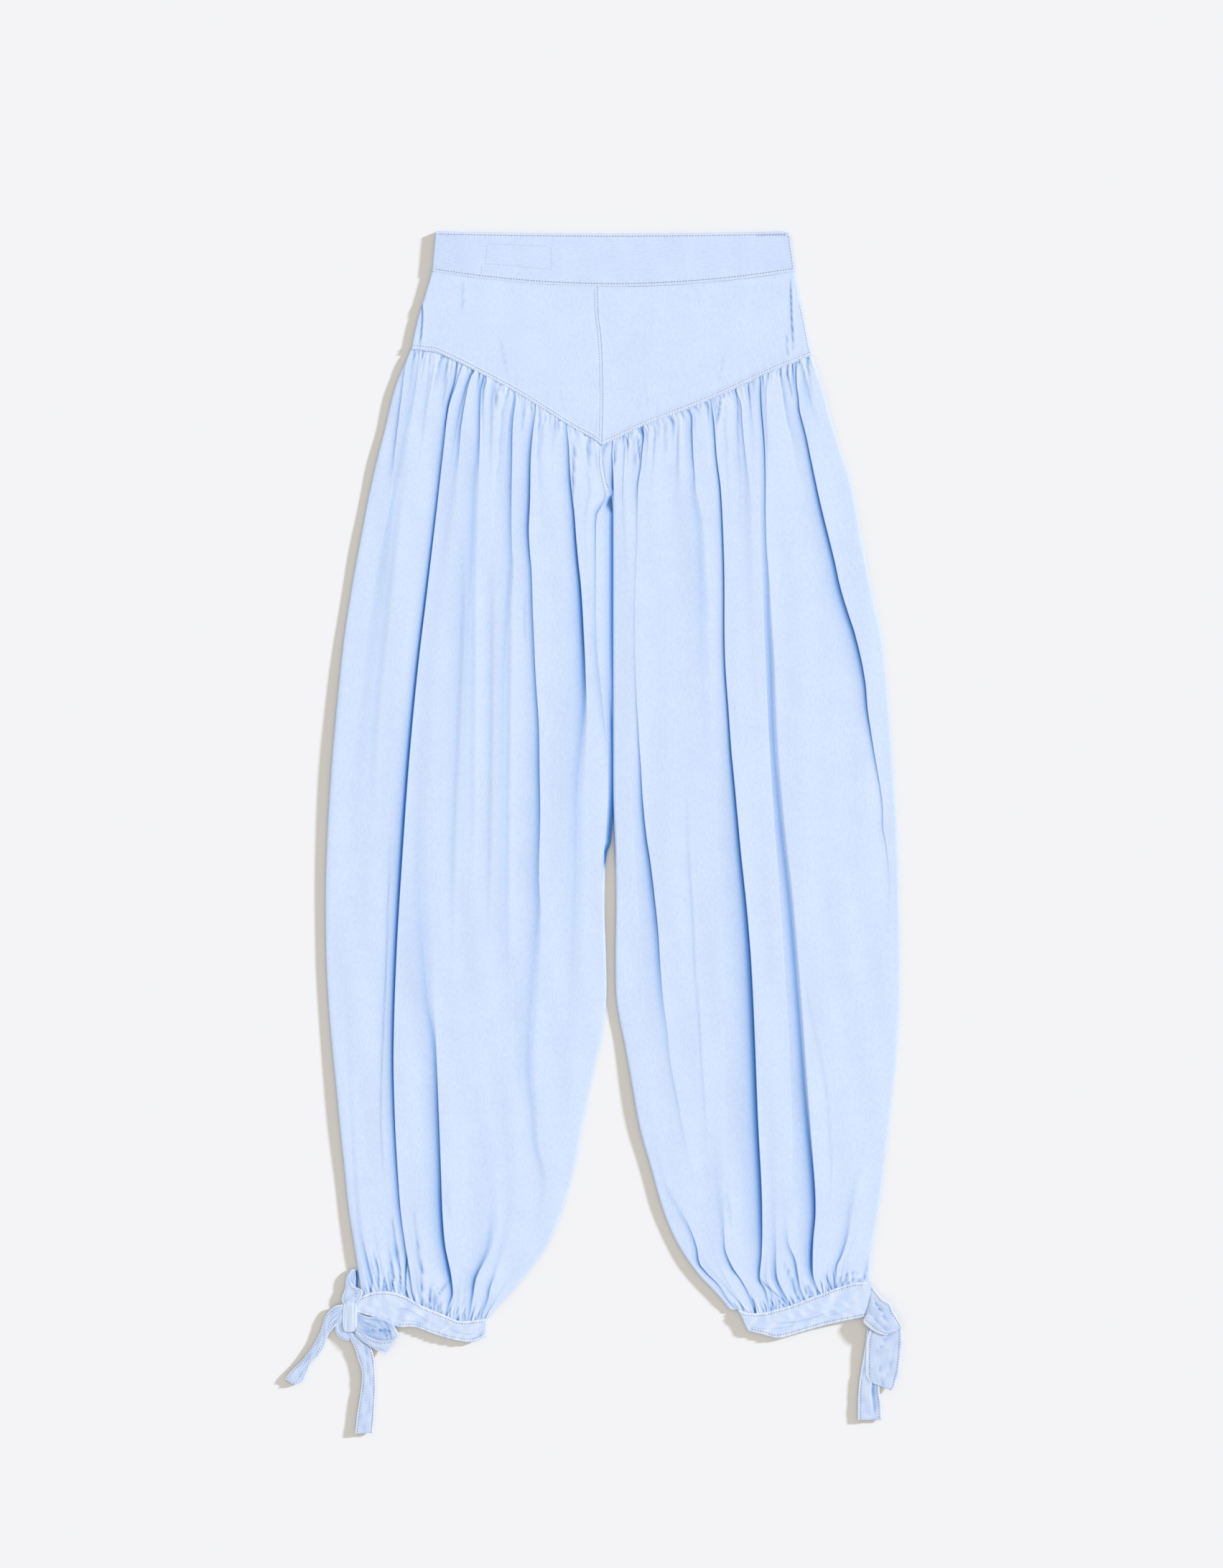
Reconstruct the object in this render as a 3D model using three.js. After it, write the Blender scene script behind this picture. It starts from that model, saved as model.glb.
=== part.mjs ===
// Balloon jeans in light denim, laid flat on their back panels with the front up.
// Millimetres, +Z up. +Y runs to the waist and +X to the right side as one looks at the front.
// The origin is under the middle of the whole outline, on the surface that the jeans lie on.
//
// Places on the garment are given as a tailor reads them off the table:
//   across  to the right of the crotch, so the left leg is negative
//   drop    down from the top edge of the waistband
//   lift    above the table

import * as THREE from 'three';

// Driving sizes
const ORIGIN_ACROSS = -17.8;
const ORIGIN_DROP = 577.6;
const CLOTH = 1.3;
const BACK_CLOTH = 1.2;
const BAND_CLOTH = 1.6;
const TIE_CLOTH = 1.5;
const SEAM_GAP = 0.3;
const BACK_INSET = 0.5;
const SIDE_SHOULDER = 1.7;
const LEG_PUFF = 1.5;
const YOKE_PUFF = 0.9;
const CREASE_WIDTH = 1.6;
const FOLD_CREST = 5;
const CREST_LIMIT = 0.3;
const GATHERS_AT_YOKE = 24;
const GATHERS_AT_CUFF = 28;
const GATHER_HEIGHT = 1.3;
const SMALLEST_GATHER = 0.45;
const LOWEST_FRONT = BACK_CLOTH + SEAM_GAP;

// How finely the skins are divided
const PLAIN_ROWS = 22;
const YOKE_ROWS = 5;
const BACK_ROWS = 20;
const COLUMNS_AT_SEAM = 30;
const COLUMNS_INSIDE = 6;
const BAND_STEPS = 16;
const CUFF_STEPS = 18;
const TIE_STEPS = 3;
const KNOT_STEPS = 8;

const waist = {
  topLeft: -169.7, topRight: 170.5, bottomLeft: -173.2, bottomRight: 175.5,
  topSag: 2.3, bottomSide: 38.5, bottomSag: 14.5, halfWidth: 174,
};

// A table with named columns, one row for each section, seam point or fold
function table(columns, ...rows) {
  return rows.map((row) => Object.fromEntries(columns.map((name, i) => [name, row[i]])));
}

// The outline of both sides and the centre seam, from the waistband to the yoke seam
const yokeSections = table(
  ['drop', 'outerLeft', 'centre', 'outerRight'],
  [36, -173.0, -14.6, 175.3],
  [60, -180.0, -14.4, 179.5],
  [83, -187.0, -13.6, 184.3],
  [97, -190.3, -11.6, 187.0],
  [114, -193.9, -10.4, 190.4],
  [121, -196.5, -10.0, 192.4],
  [165, -213.0, -9.3, 206.5],
  [206, -223.0, -10.4, 218.0],
);

// The outline of the two legs, from the yoke seam to the cuffs
const legSections = table(
  ['drop', 'outerLeft', 'innerLeft', 'innerRight', 'outerRight'],
  [112, -193.5, -10.4, -10.4, 189.8],
  [150, -209.0, -9.6, -9.6, 202.0],
  [190, -219.0, -10.0, -10.0, 213.0],
  [228, -228.8, -11.6, -11.6, 225.5],
  [243, -232.0, -7.4, -7.4, 230.0],
  [256, -235.0, -2.2, -1.4, 233.0],
  [280, -239.5, -1.6, -0.6, 237.0],
  [340, -250.5, -1.4, -0.4, 248.3],
  [400, -259.5, -1.4, -0.4, 260.5],
  [500, -269.3, -1.4, -0.2, 269.0],
  [545, -272.5, -1.8, 0.1, 272.0],
  [600, -275.2, -5.5, 2.0, 274.5],
  [640, -276.0, -7.4, 2.8, 275.8],
  [700, -275.3, -5.6, 2.0, 277.0],
  [740, -273.2, -5.5, 3.4, 276.6],
  [780, -270.0, -10.8, 11.0, 274.0],
  [820, -266.0, -20.3, 18.0, 270.4],
  [860, -262.2, -28.4, 25.2, 266.2],
  [900, -257.8, -36.0, 36.5, 261.4],
  [940, -253.6, -47.4, 48.0, 256.0],
  [972, -248.6, -61.0, 61.8, 250.6],
  [1000, -244.2, -80.8, 80.5, 248.2],
  [1022, -241.4, -99.5, 101.0, 247.6],
  [1044, -241.0, -120.0, 119.0, 247.4],
);

// The gathered seam between yoke and legs, a shallow V
const yokeSeamPoints = table(
  ['across', 'drop'],
  [-194, 113.2], [-181, 114.6], [-169, 116.4], [-158, 121.2], [-132, 134.0], [-92, 155.3],
  [-37, 189.6], [-18, 199.8], [-10.4, 205.4],
);
const yokeSeamPointsRight = table(
  ['across', 'drop'],
  [-10.4, 205.4], [2.8, 199.6], [30, 186.7], [75, 169.5], [110, 154.5], [152, 135.2], [192, 119.0],
);

// The gathered seam between legs and cuffs, and the free edge of each cuff
const cuffSeamLeft = table(
  ['across', 'drop'],
  [-242, 1023], [-231, 1019], [-220, 1017.8], [-208, 1019.5], [-196, 1024.5], [-183, 1032],
  [-169, 1037.8], [-158, 1042.5], [-148, 1046.4], [-135, 1046], [-120, 1044],
);
const cuffSeamRight = table(
  ['across', 'drop'],
  [118.7, 1034.3], [129, 1038.6], [144, 1038.5], [157, 1035.3], [172.5, 1030.9], [187.7, 1024.9],
  [201, 1020.2], [217.4, 1013.8], [232.5, 1009.7], [247.4, 1009],
);
const cuffHemLeft = table(
  ['share', 'across', 'drop'],
  [0, -245.6, 1037.6], [0.08, -236, 1040.6], [0.2, -220, 1045.2], [0.32, -208, 1051.6],
  [0.44, -190, 1052.2], [0.58, -172, 1058.4], [0.72, -152, 1064.2], [0.88, -134, 1066],
  [1, -121.5, 1060.5],
);
const cuffHemRight = table(
  ['share', 'across', 'drop'],
  [0, 247.6, 1041.3], [0.2, 224, 1045.8], [0.4, 201, 1051], [0.6, 180, 1057], [0.78, 159, 1062.4],
  [0.9, 144, 1058.8], [1, 129.5, 1055.4],
);

// The long folds. Each row is one crease: where it lies across at the yoke seam, at six drops and
// at the cuff seam, then how high the cloth on its right stands over the cloth on its left.
const foldDrops = { a: 250, b: 370, c: 520, d: 680, e: 820, f: 940 };
const foldColumns = [
  'top', 'a', 'b', 'c', 'd', 'e', 'f', 'end',
  'highTop', 'highA', 'highB', 'highC', 'highD', 'highE', 'highF', 'highEnd',
];
const foldsLeft = table(
  foldColumns,
  [-184.9, -209.4, -222.0, -236.0, -241.0, -238.0, -232.0, -229.0, 1.2, 1.4, 0.6, 0, 0, 0.4, 1.6, 1.2],
  [-147.7, -166.8, -181.5, -196.1, -206.9, -210.5, -203.6, -190.0, 1.6, 3.6, 4.2, 4.4, 3.8, 3.0, 3.2, 1.6],
  [-133.9, -150.4, -163.0, -176.0, -177.1, -168.1, -163.5, -160.0, 1.8, 1.4, 0.3, 0.5, 1.4, 3.6, 4.4, 2.2],
  [-122.8, -129.7, -134.0, -137.0, -135.0, -128.0, -120.0, -141.0, 2.0, 2.0, 1.4, 0.5, 0.2, 0.4, 1.6, 1.6],
  [-93.2, -97.3, -99.4, -101.0, -101.0, -99.0, -90.0, -133.0, 1.8, 2.4, 1.6, 0.6, 0.2, 0, 0.5, 0.8],
  [-73.8, -79.4, -76.6, -70.4, -70.7, -75.9, -72.0, -126.5, 1.6, 2.6, 2.4, 2.6, 2.2, 1.4, 0.6, 0.6],
  [-43.5, -39.3, -29.2, -29.4, -30.6, -44.0, -62.0, -122.5, 1.8, 3.6, 4.4, 3.4, 1.4, 0, 0, 0],
);
const foldsRight = table(
  foldColumns,
  [28.3, 24.6, 21.1, 27.2, 44.0, 59.3, 73.0, 122.5, 2.2, 3.4, 2.2, 3.4, 3.6, 2.0, 1.4, 1.0],
  [71.8, 79.4, 89.7, 94.5, 100.0, 103.0, 105.0, 133.9, 1.8, 2.4, 1.0, 0.4, 0.2, 0.4, 1.6, 1.6],
  [94.5, 103.6, 107.3, 115.9, 131.1, 138.0, 143.2, 146.0, 2.0, 3.2, 3.4, 3.6, 4.4, 4.4, 4.2, 2.0],
  [116.6, 130.8, 134.6, 139.4, 150.0, 154.5, 160.0, 171.1, 1.6, 1.8, 0.6, 0.2, 0.2, 0.4, 1.6, 1.6],
  [142.1, 146.5, 151.1, 159.8, 175.3, 186.5, 194.6, 198.0, 1.6, 2.6, 2.6, 2.8, 3.4, 3.8, 4.2, 1.8],
  [175.3, 196.3, 226.8, 252.0, 259.0, 246.0, 229.0, 214.6, 1.4, 3.0, 3.4, 2.4, 0.6, 0.4, 1.6, 1.4],
);

function at(across, drop, lift) {
  return new THREE.Vector3(across - ORIGIN_ACROSS, ORIGIN_DROP - drop, lift);
}

const mix = THREE.MathUtils.lerp;

// A smooth curve through one column of a table against another, held level past its ends
function curveThrough(rows, along, value) {
  const xs = rows.map((row) => row[along]);
  const ys = rows.map((row) => row[value]);
  const last = xs.length - 1;
  const slopes = ys.map((_, i) => {
    const before = Math.max(0, i - 1);
    const after = Math.min(last, i + 1);
    return (ys[after] - ys[before]) / (xs[after] - xs[before]);
  });
  return (x) => {
    if (x <= xs[0]) return ys[0];
    if (x >= xs[last]) return ys[last];
    const i = xs.findIndex((next) => next > x) - 1;
    const span = xs[i + 1] - xs[i];
    const t = (x - xs[i]) / span;
    const s = 1 - t;
    return (1 + 2 * t) * s * s * ys[i] + t * s * s * span * slopes[i]
      + t * t * (3 - 2 * t) * ys[i + 1] - t * t * s * span * slopes[i + 1];
  };
}

// An uneven share between 0 and 1 for the nth gather, the same on every run
function uneven(n) {
  const wave = Math.sin(n * 12.9898 + 4.1) * 43758.5453;
  return wave - Math.floor(wave);
}

// Triangles between two lists of points, each point with its share along the list. Lists of one
// length are joined point to point, other lists by the shares.
function zip(first, second, triangles) {
  const isEven = first.length === second.length;
  let i = 0;
  let j = 0;
  while (i < first.length - 1 || j < second.length - 1) {
    const firstIsDone = i === first.length - 1;
    const secondIsDone = j === second.length - 1;
    const isFirstBehind = isEven ? i <= j : first[i + 1]?.share <= second[j + 1]?.share;
    if (secondIsDone || (!firstIsDone && isFirstBehind)) {
      triangles.push(first[i].id, second[j].id, first[i + 1].id);
      i += 1;
    } else {
      triangles.push(first[i].id, second[j].id, second[j + 1].id);
      j += 1;
    }
  }
}

// A closed wall between an upper and a lower skin. A skin is a list of rows, a row a list of
// points with their share across, and rows may have different numbers of points.
function wallBetween(upper, lower) {
  const positions = [];
  const triangles = [];
  const enter = (skin) => skin.map((row) => ({
    share: row.share,
    points: row.points.map((point) => {
      positions.push(point.at.x, point.at.y, point.at.z);
      return { id: positions.length / 3 - 1, share: point.share };
    }),
  }));
  const top = enter(upper);
  const under = enter(lower);
  for (let k = 0; k < top.length - 1; k += 1) zip(top[k].points, top[k + 1].points, triangles);
  for (let k = 0; k < under.length - 1; k += 1) zip(under[k + 1].points, under[k].points, triangles);
  const sideOf = (skin, end) => skin.map((row) => ({ id: row.points.at(end).id, share: row.share }));
  zip(under[0].points, top[0].points, triangles);
  zip(top.at(-1).points, under.at(-1).points, triangles);
  zip(sideOf(top, 0), sideOf(under, 0), triangles);
  zip(sideOf(under, -1), sideOf(top, -1), triangles);
  const geometry = new THREE.BufferGeometry();
  geometry.setAttribute('position', new THREE.Float32BufferAttribute(positions, 3));
  geometry.setIndex(triangles);
  geometry.computeVertexNormals();
  return geometry;
}

// One crease line as a function of drop, with the height of its step
function creaseLine(fold, topSeam, endSeam) {
  const middles = Object.entries(foldDrops).map(([name, drop]) => ({
    drop, across: fold[name], high: fold[`high${name.toUpperCase()}`],
  }));
  const rows = [
    { drop: topSeam(fold.top), across: fold.top, high: fold.highTop },
    ...middles,
    { drop: endSeam(fold.end), across: fold.end, high: fold.highEnd },
  ];
  return { across: curveThrough(rows, 'drop', 'across'), high: curveThrough(rows, 'drop', 'high') };
}

// Where a line that runs down a panel meets the row at a given share of the panel's length.
// The guess comes nearer with each step, because seams and lines cross steeply.
const MEETING_STEPS = 24;

function meet(line, topSeam, endSeam, share) {
  let drop = ORIGIN_DROP;
  for (let step = 0; step < MEETING_STEPS; step += 1) {
    const across = line.across(drop);
    drop = mix(topSeam(across), endSeam(across), share);
  }
  return { across: line.across(drop), high: line.high(drop) };
}

// The section of a panel along one row: its columns from the left edge to the right edge.
// Each strip between two creases stands high at its left and runs down to its right.
const foldProfile = table(
  ['share', 'fromCrease', 'level'],
  [0, 0.5 * CREASE_WIDTH, 0.72],
  [0, FOLD_CREST, 1],
  [0.55, 0, 0.55],
  [1, -0.5 * CREASE_WIDTH, 0.04],
);

// How the air between front and back swells the front: evenly across, less at waist and cuff
const swell = { roundness: 0.6, top: 0.12, end: 0.9 };

function swellAt(shareAcross, share) {
  return Math.sin(Math.PI * shareAcross) ** swell.roundness
    * Math.sin(Math.PI * mix(swell.top, swell.end, share));
}

function sectionOf(panel, share) {
  const lines = panel.lines.map((line) => meet(line, panel.topSeam, panel.endSeam, share));
  const left = lines[0].across;
  const width = lines.at(-1).across - left;
  const columns = [{ across: left, rise: 0 }];
  for (let k = 0; k < lines.length - 1; k += 1) {
    const span = lines[k + 1].across - lines[k].across;
    for (const spot of foldProfile) {
      const offset = Math.sign(spot.fromCrease) * Math.min(Math.abs(spot.fromCrease), span * CREST_LIMIT);
      const across = lines[k].across + span * spot.share + offset;
      columns.push({ across, rise: lines[k].high * spot.level });
    }
  }
  columns.push({ across: left + width, rise: 0 });
  return columns.map((column) => {
    const shareAcross = (column.across - left) / width;
    return {
      share: shareAcross,
      across: column.across,
      drop: mix(panel.topSeam(column.across), panel.endSeam(column.across), share),
      lift: LOWEST_FRONT + CLOTH + column.rise + panel.puff * swellAt(shareAcross, share),
    };
  });
}

// The inner skin of a section: the same line moved in by the cloth's thickness, and never much
// more at a sharp corner
const CORNER_REACH = 1.3 * CLOTH;

function innerSection(section) {
  return section.map((spot, k) => {
    if (k === 0 || k === section.length - 1) return { ...spot, lift: spot.lift - CLOTH };
    const before = section[k - 1];
    const after = section[k + 1];
    const into = new THREE.Vector2(before.lift - spot.lift, spot.across - before.across).normalize();
    const out = new THREE.Vector2(spot.lift - after.lift, after.across - spot.across).normalize();
    const normal = into.clone().add(out).normalize();
    const reach = Math.min(CLOTH / normal.dot(into), CORNER_REACH);
    return {
      ...spot,
      across: spot.across - normal.x * reach,
      lift: Math.max(spot.lift - normal.y * reach, LOWEST_FRONT),
    };
  });
}

function skinRow(section, share) {
  return {
    share,
    points: section.map((spot) => ({ share: spot.share, at: at(spot.across, spot.drop, spot.lift) })),
  };
}

// A row in the gathered zone: three points to a gather, standing up from the section's own line
const gatherShape = [0.05, 1, 0.4];

function gatheredRow(section, share, gathers, height) {
  const count = gathers * gatherShape.length;
  const points = [];
  for (let n = 0; n <= count; n += 1) {
    const here = n / count;
    const next = Math.max(1, section.findIndex((spot) => spot.share >= here));
    const [before, after] = [section[next - 1], section[next]];
    const t = (here - before.share) / (after.share - before.share);
    const size = mix(SMALLEST_GATHER, 1, uneven(Math.floor(n / gatherShape.length)));
    const ripple = n === 0 || n === count ? 0 : height * size * gatherShape[n % gatherShape.length];
    points.push({
      share: here,
      at: at(mix(before.across, after.across, t), mix(before.drop, after.drop, t),
        mix(before.lift, after.lift, t) + ripple),
    });
  }
  return { share, points };
}

// How high the gathers stand at each share of a panel's length, near the yoke and near the cuff
const nearYoke = table(['share', 'height'], [0, 0.9], [0.009, 1], [0.022, 0.7], [0.042, 0.3]);
const nearCuff = table(['share', 'height'], [0.957, 0.4], [0.977, 0.8], [0.99, 1], [1, 0.9]);

// A front leg panel: gathered rows first and last, plain rows between
function gatheredPanel(panel) {
  const plainShares = [];
  for (let k = 1; k < PLAIN_ROWS; k += 1) {
    plainShares.push(mix(nearYoke.at(-1).share, nearCuff[0].share, k / PLAIN_ROWS));
  }
  const upper = [
    ...nearYoke.map((row) => gatheredRow(sectionOf(panel, row.share), row.share,
      GATHERS_AT_YOKE, GATHER_HEIGHT * row.height)),
    ...plainShares.map((share) => skinRow(sectionOf(panel, share), share)),
    ...nearCuff.map((row) => gatheredRow(sectionOf(panel, row.share), row.share,
      GATHERS_AT_CUFF, GATHER_HEIGHT * row.height)),
  ];
  const lower = upper.map(({ share }) => skinRow(innerSection(sectionOf(panel, share)), share));
  return wallBetween(upper, lower);
}

// A panel without folds, between two lines and two seams
function plainPanel(panel, { bottomLift, cloth, rows }) {
  const skin = (lift) => {
    const list = [];
    for (let r = 0; r <= rows; r += 1) {
      const share = r / rows;
      const columns = r === 0 || r === rows ? COLUMNS_AT_SEAM : COLUMNS_INSIDE;
      const left = meet(panel.lines[0], panel.topSeam, panel.endSeam, share).across;
      const right = meet(panel.lines.at(-1), panel.topSeam, panel.endSeam, share).across;
      const points = [];
      for (let c = 0; c <= columns; c += 1) {
        const shareAcross = c / columns;
        const across = mix(left, right, shareAcross);
        const drop = mix(panel.topSeam(across), panel.endSeam(across), share);
        const puffHere = panel.puff * Math.sin(Math.PI * shareAcross) * Math.sin(Math.PI * share);
        points.push({ share: shareAcross, at: at(across, drop, lift + puffHere) });
      }
      list.push({ share, points });
    }
    return list;
  };
  return wallBetween(skin(bottomLift + cloth), skin(bottomLift));
}

// A strip of cloth through stations, each with one point on either long edge. Where its first
// edge is at the right of the way it runs, its outer side looks up.
function strip(stations, cloth, stepsBetween, columns) {
  const edge = (side) => new THREE.CatmullRomCurve3(
    stations.map((s) => at(s[`${side}Across`], s[`${side}Drop`], s[`${side}Lift`])), false, 'centripetal');
  const [first, second] = [edge('first'), edge('second')];
  const rows = (stations.length - 1) * stepsBetween;
  const middle = [];
  for (let r = 0; r <= rows; r += 1) {
    const a = first.getPoint(r / rows);
    const b = second.getPoint(r / rows);
    middle.push(Array.from({ length: columns + 1 }, (_, c) => a.clone().lerp(b, c / columns)));
  }
  const skin = (side) => middle.map((row, r) => ({
    share: r / rows,
    points: row.map((point, c) => {
      const along = middle[Math.min(r + 1, rows)][c].clone().sub(middle[Math.max(r - 1, 0)][c]);
      const over = row[Math.min(c + 1, columns)].clone().sub(row[Math.max(c - 1, 0)]);
      const normal = along.cross(over).normalize();
      return { share: c / columns, at: point.clone().addScaledVector(normal, side * cloth / 2) };
    }),
  }));
  return wallBetween(skin(1), skin(-1));
}

// Seams as functions of the place across
const yokeSeam = {
  left: curveThrough(yokeSeamPoints, 'across', 'drop'),
  right: curveThrough(yokeSeamPointsRight, 'across', 'drop'),
};
const cuffSeam = {
  left: curveThrough(cuffSeamLeft, 'across', 'drop'),
  right: curveThrough(cuffSeamRight, 'across', 'drop'),
};
const waistTop = (across) => waist.topSag * (1 - (across / waist.halfWidth) ** 2);
const waistSeam = (across) => waist.bottomSide + waist.bottomSag * (1 - (across / waist.halfWidth) ** 2);

// An edge line of a panel, moved sideways by an inset
function edgeLine(rows, column, inset, high = 0) {
  const across = curveThrough(rows, 'drop', column);
  return { across: (drop) => across(drop) + inset, high: () => high };
}

function legPanel(side, inset) {
  const isLeft = side === 'left';
  const topSeam = (across) => yokeSeam[side](across) + SEAM_GAP;
  const endSeam = cuffSeam[side];
  const outer = edgeLine(legSections, isLeft ? 'outerLeft' : 'outerRight', isLeft ? inset : -inset,
    SIDE_SHOULDER);
  const inner = edgeLine(legSections, isLeft ? 'innerLeft' : 'innerRight',
    isLeft ? -inset - SEAM_GAP : inset + SEAM_GAP, SIDE_SHOULDER);
  const folds = (isLeft ? foldsLeft : foldsRight).map((fold) => creaseLine(fold, topSeam, endSeam));
  const lines = isLeft ? [outer, ...folds, inner] : [inner, ...folds, outer];
  return { lines, topSeam, endSeam, puff: LEG_PUFF };
}

function yokePanel(side, inset) {
  const isLeft = side === 'left';
  const outer = edgeLine(yokeSections, isLeft ? 'outerLeft' : 'outerRight', isLeft ? inset : -inset);
  const centre = edgeLine(yokeSections, 'centre', isLeft ? -SEAM_GAP / 2 : SEAM_GAP / 2);
  return {
    lines: isLeft ? [outer, centre] : [centre, outer],
    topSeam: (across) => waistSeam(across) + SEAM_GAP,
    endSeam: yokeSeam[side],
    puff: YOKE_PUFF,
  };
}

function flattened(panel) {
  return { ...panel, puff: 0 };
}

// The waistband is one doubled strip. It runs from the side opening across the front, turns at
// the left side and comes back under itself, so its two ends lie on each other at the right.
const bandPly = { front: 2.7, turn: 1.75, back: 0.8, flatShare: 0.992, turnInset: 0.3 };

function waistband() {
  const station = (share, lift, inset) => {
    const topAcross = mix(waist.topRight, waist.topLeft, share) + inset;
    const bottomAcross = mix(waist.bottomRight, waist.bottomLeft, share) + inset;
    return {
      firstAcross: topAcross, firstDrop: waistTop(topAcross), firstLift: lift,
      secondAcross: bottomAcross, secondDrop: waistSeam(bottomAcross), secondLift: lift,
    };
  };
  const shares = Array.from({ length: BAND_STEPS + 1 }, (_, k) => bandPly.flatShare * k / BAND_STEPS);
  const stations = [
    ...shares.map((share) => station(share, bandPly.front, 0)),
    station(1, bandPly.turn, bandPly.turnInset),
    ...shares.reverse().map((share) => station(share, bandPly.back, 0)),
  ];
  return strip(stations, BAND_CLOTH, 1, 1);
}

// A cuff is a doubled strip too. It turns at the inside of the leg, and both ends run out into
// the ties at the outside. The left one's top edge runs down steeply to the knot.
const cuffPly = { front: 2.8, turn: 1.8, back: 0.8, flatShare: 0.985 };
const cuffRun = {
  left: { outerTop: -244.3, innerTop: -120.6, hem: cuffHemLeft, steepFrom: -242, steepness: 2.4 },
  right: { outerTop: 247.9, innerTop: 119.6, hem: cuffHemRight, steepFrom: 0, steepness: 0 },
};

function cuff(side) {
  const run = cuffRun[side];
  const hemAcross = curveThrough(run.hem, 'share', 'across');
  const hemDrop = curveThrough(run.hem, 'share', 'drop');
  const station = (share, lift) => {
    const across = mix(run.outerTop, run.innerTop, share);
    const steepDrop = Math.max(0, run.steepFrom - across) * run.steepness;
    const top = { across, drop: cuffSeam[side](across) + 3 * SEAM_GAP + steepDrop };
    const hem = { across: hemAcross(share), drop: hemDrop(share) };
    const [first, second] = side === 'left' ? [hem, top] : [top, hem];
    return {
      firstAcross: first.across, firstDrop: first.drop, firstLift: lift,
      secondAcross: second.across, secondDrop: second.drop, secondLift: lift,
    };
  };
  const shares = Array.from({ length: CUFF_STEPS + 1 }, (_, k) => cuffPly.flatShare * k / CUFF_STEPS);
  const stations = [
    ...shares.map((share) => station(share, cuffPly.front)),
    station(1, cuffPly.turn),
    ...shares.reverse().map((share) => station(share, cuffPly.back)),
  ];
  return strip(stations, BAND_CLOTH, 1, 2);
}

// The bow on the left cuff and the untied ends on the right one
const stationColumns = ['firstAcross', 'firstDrop', 'firstLift', 'secondAcross', 'secondDrop', 'secondLift'];

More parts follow.
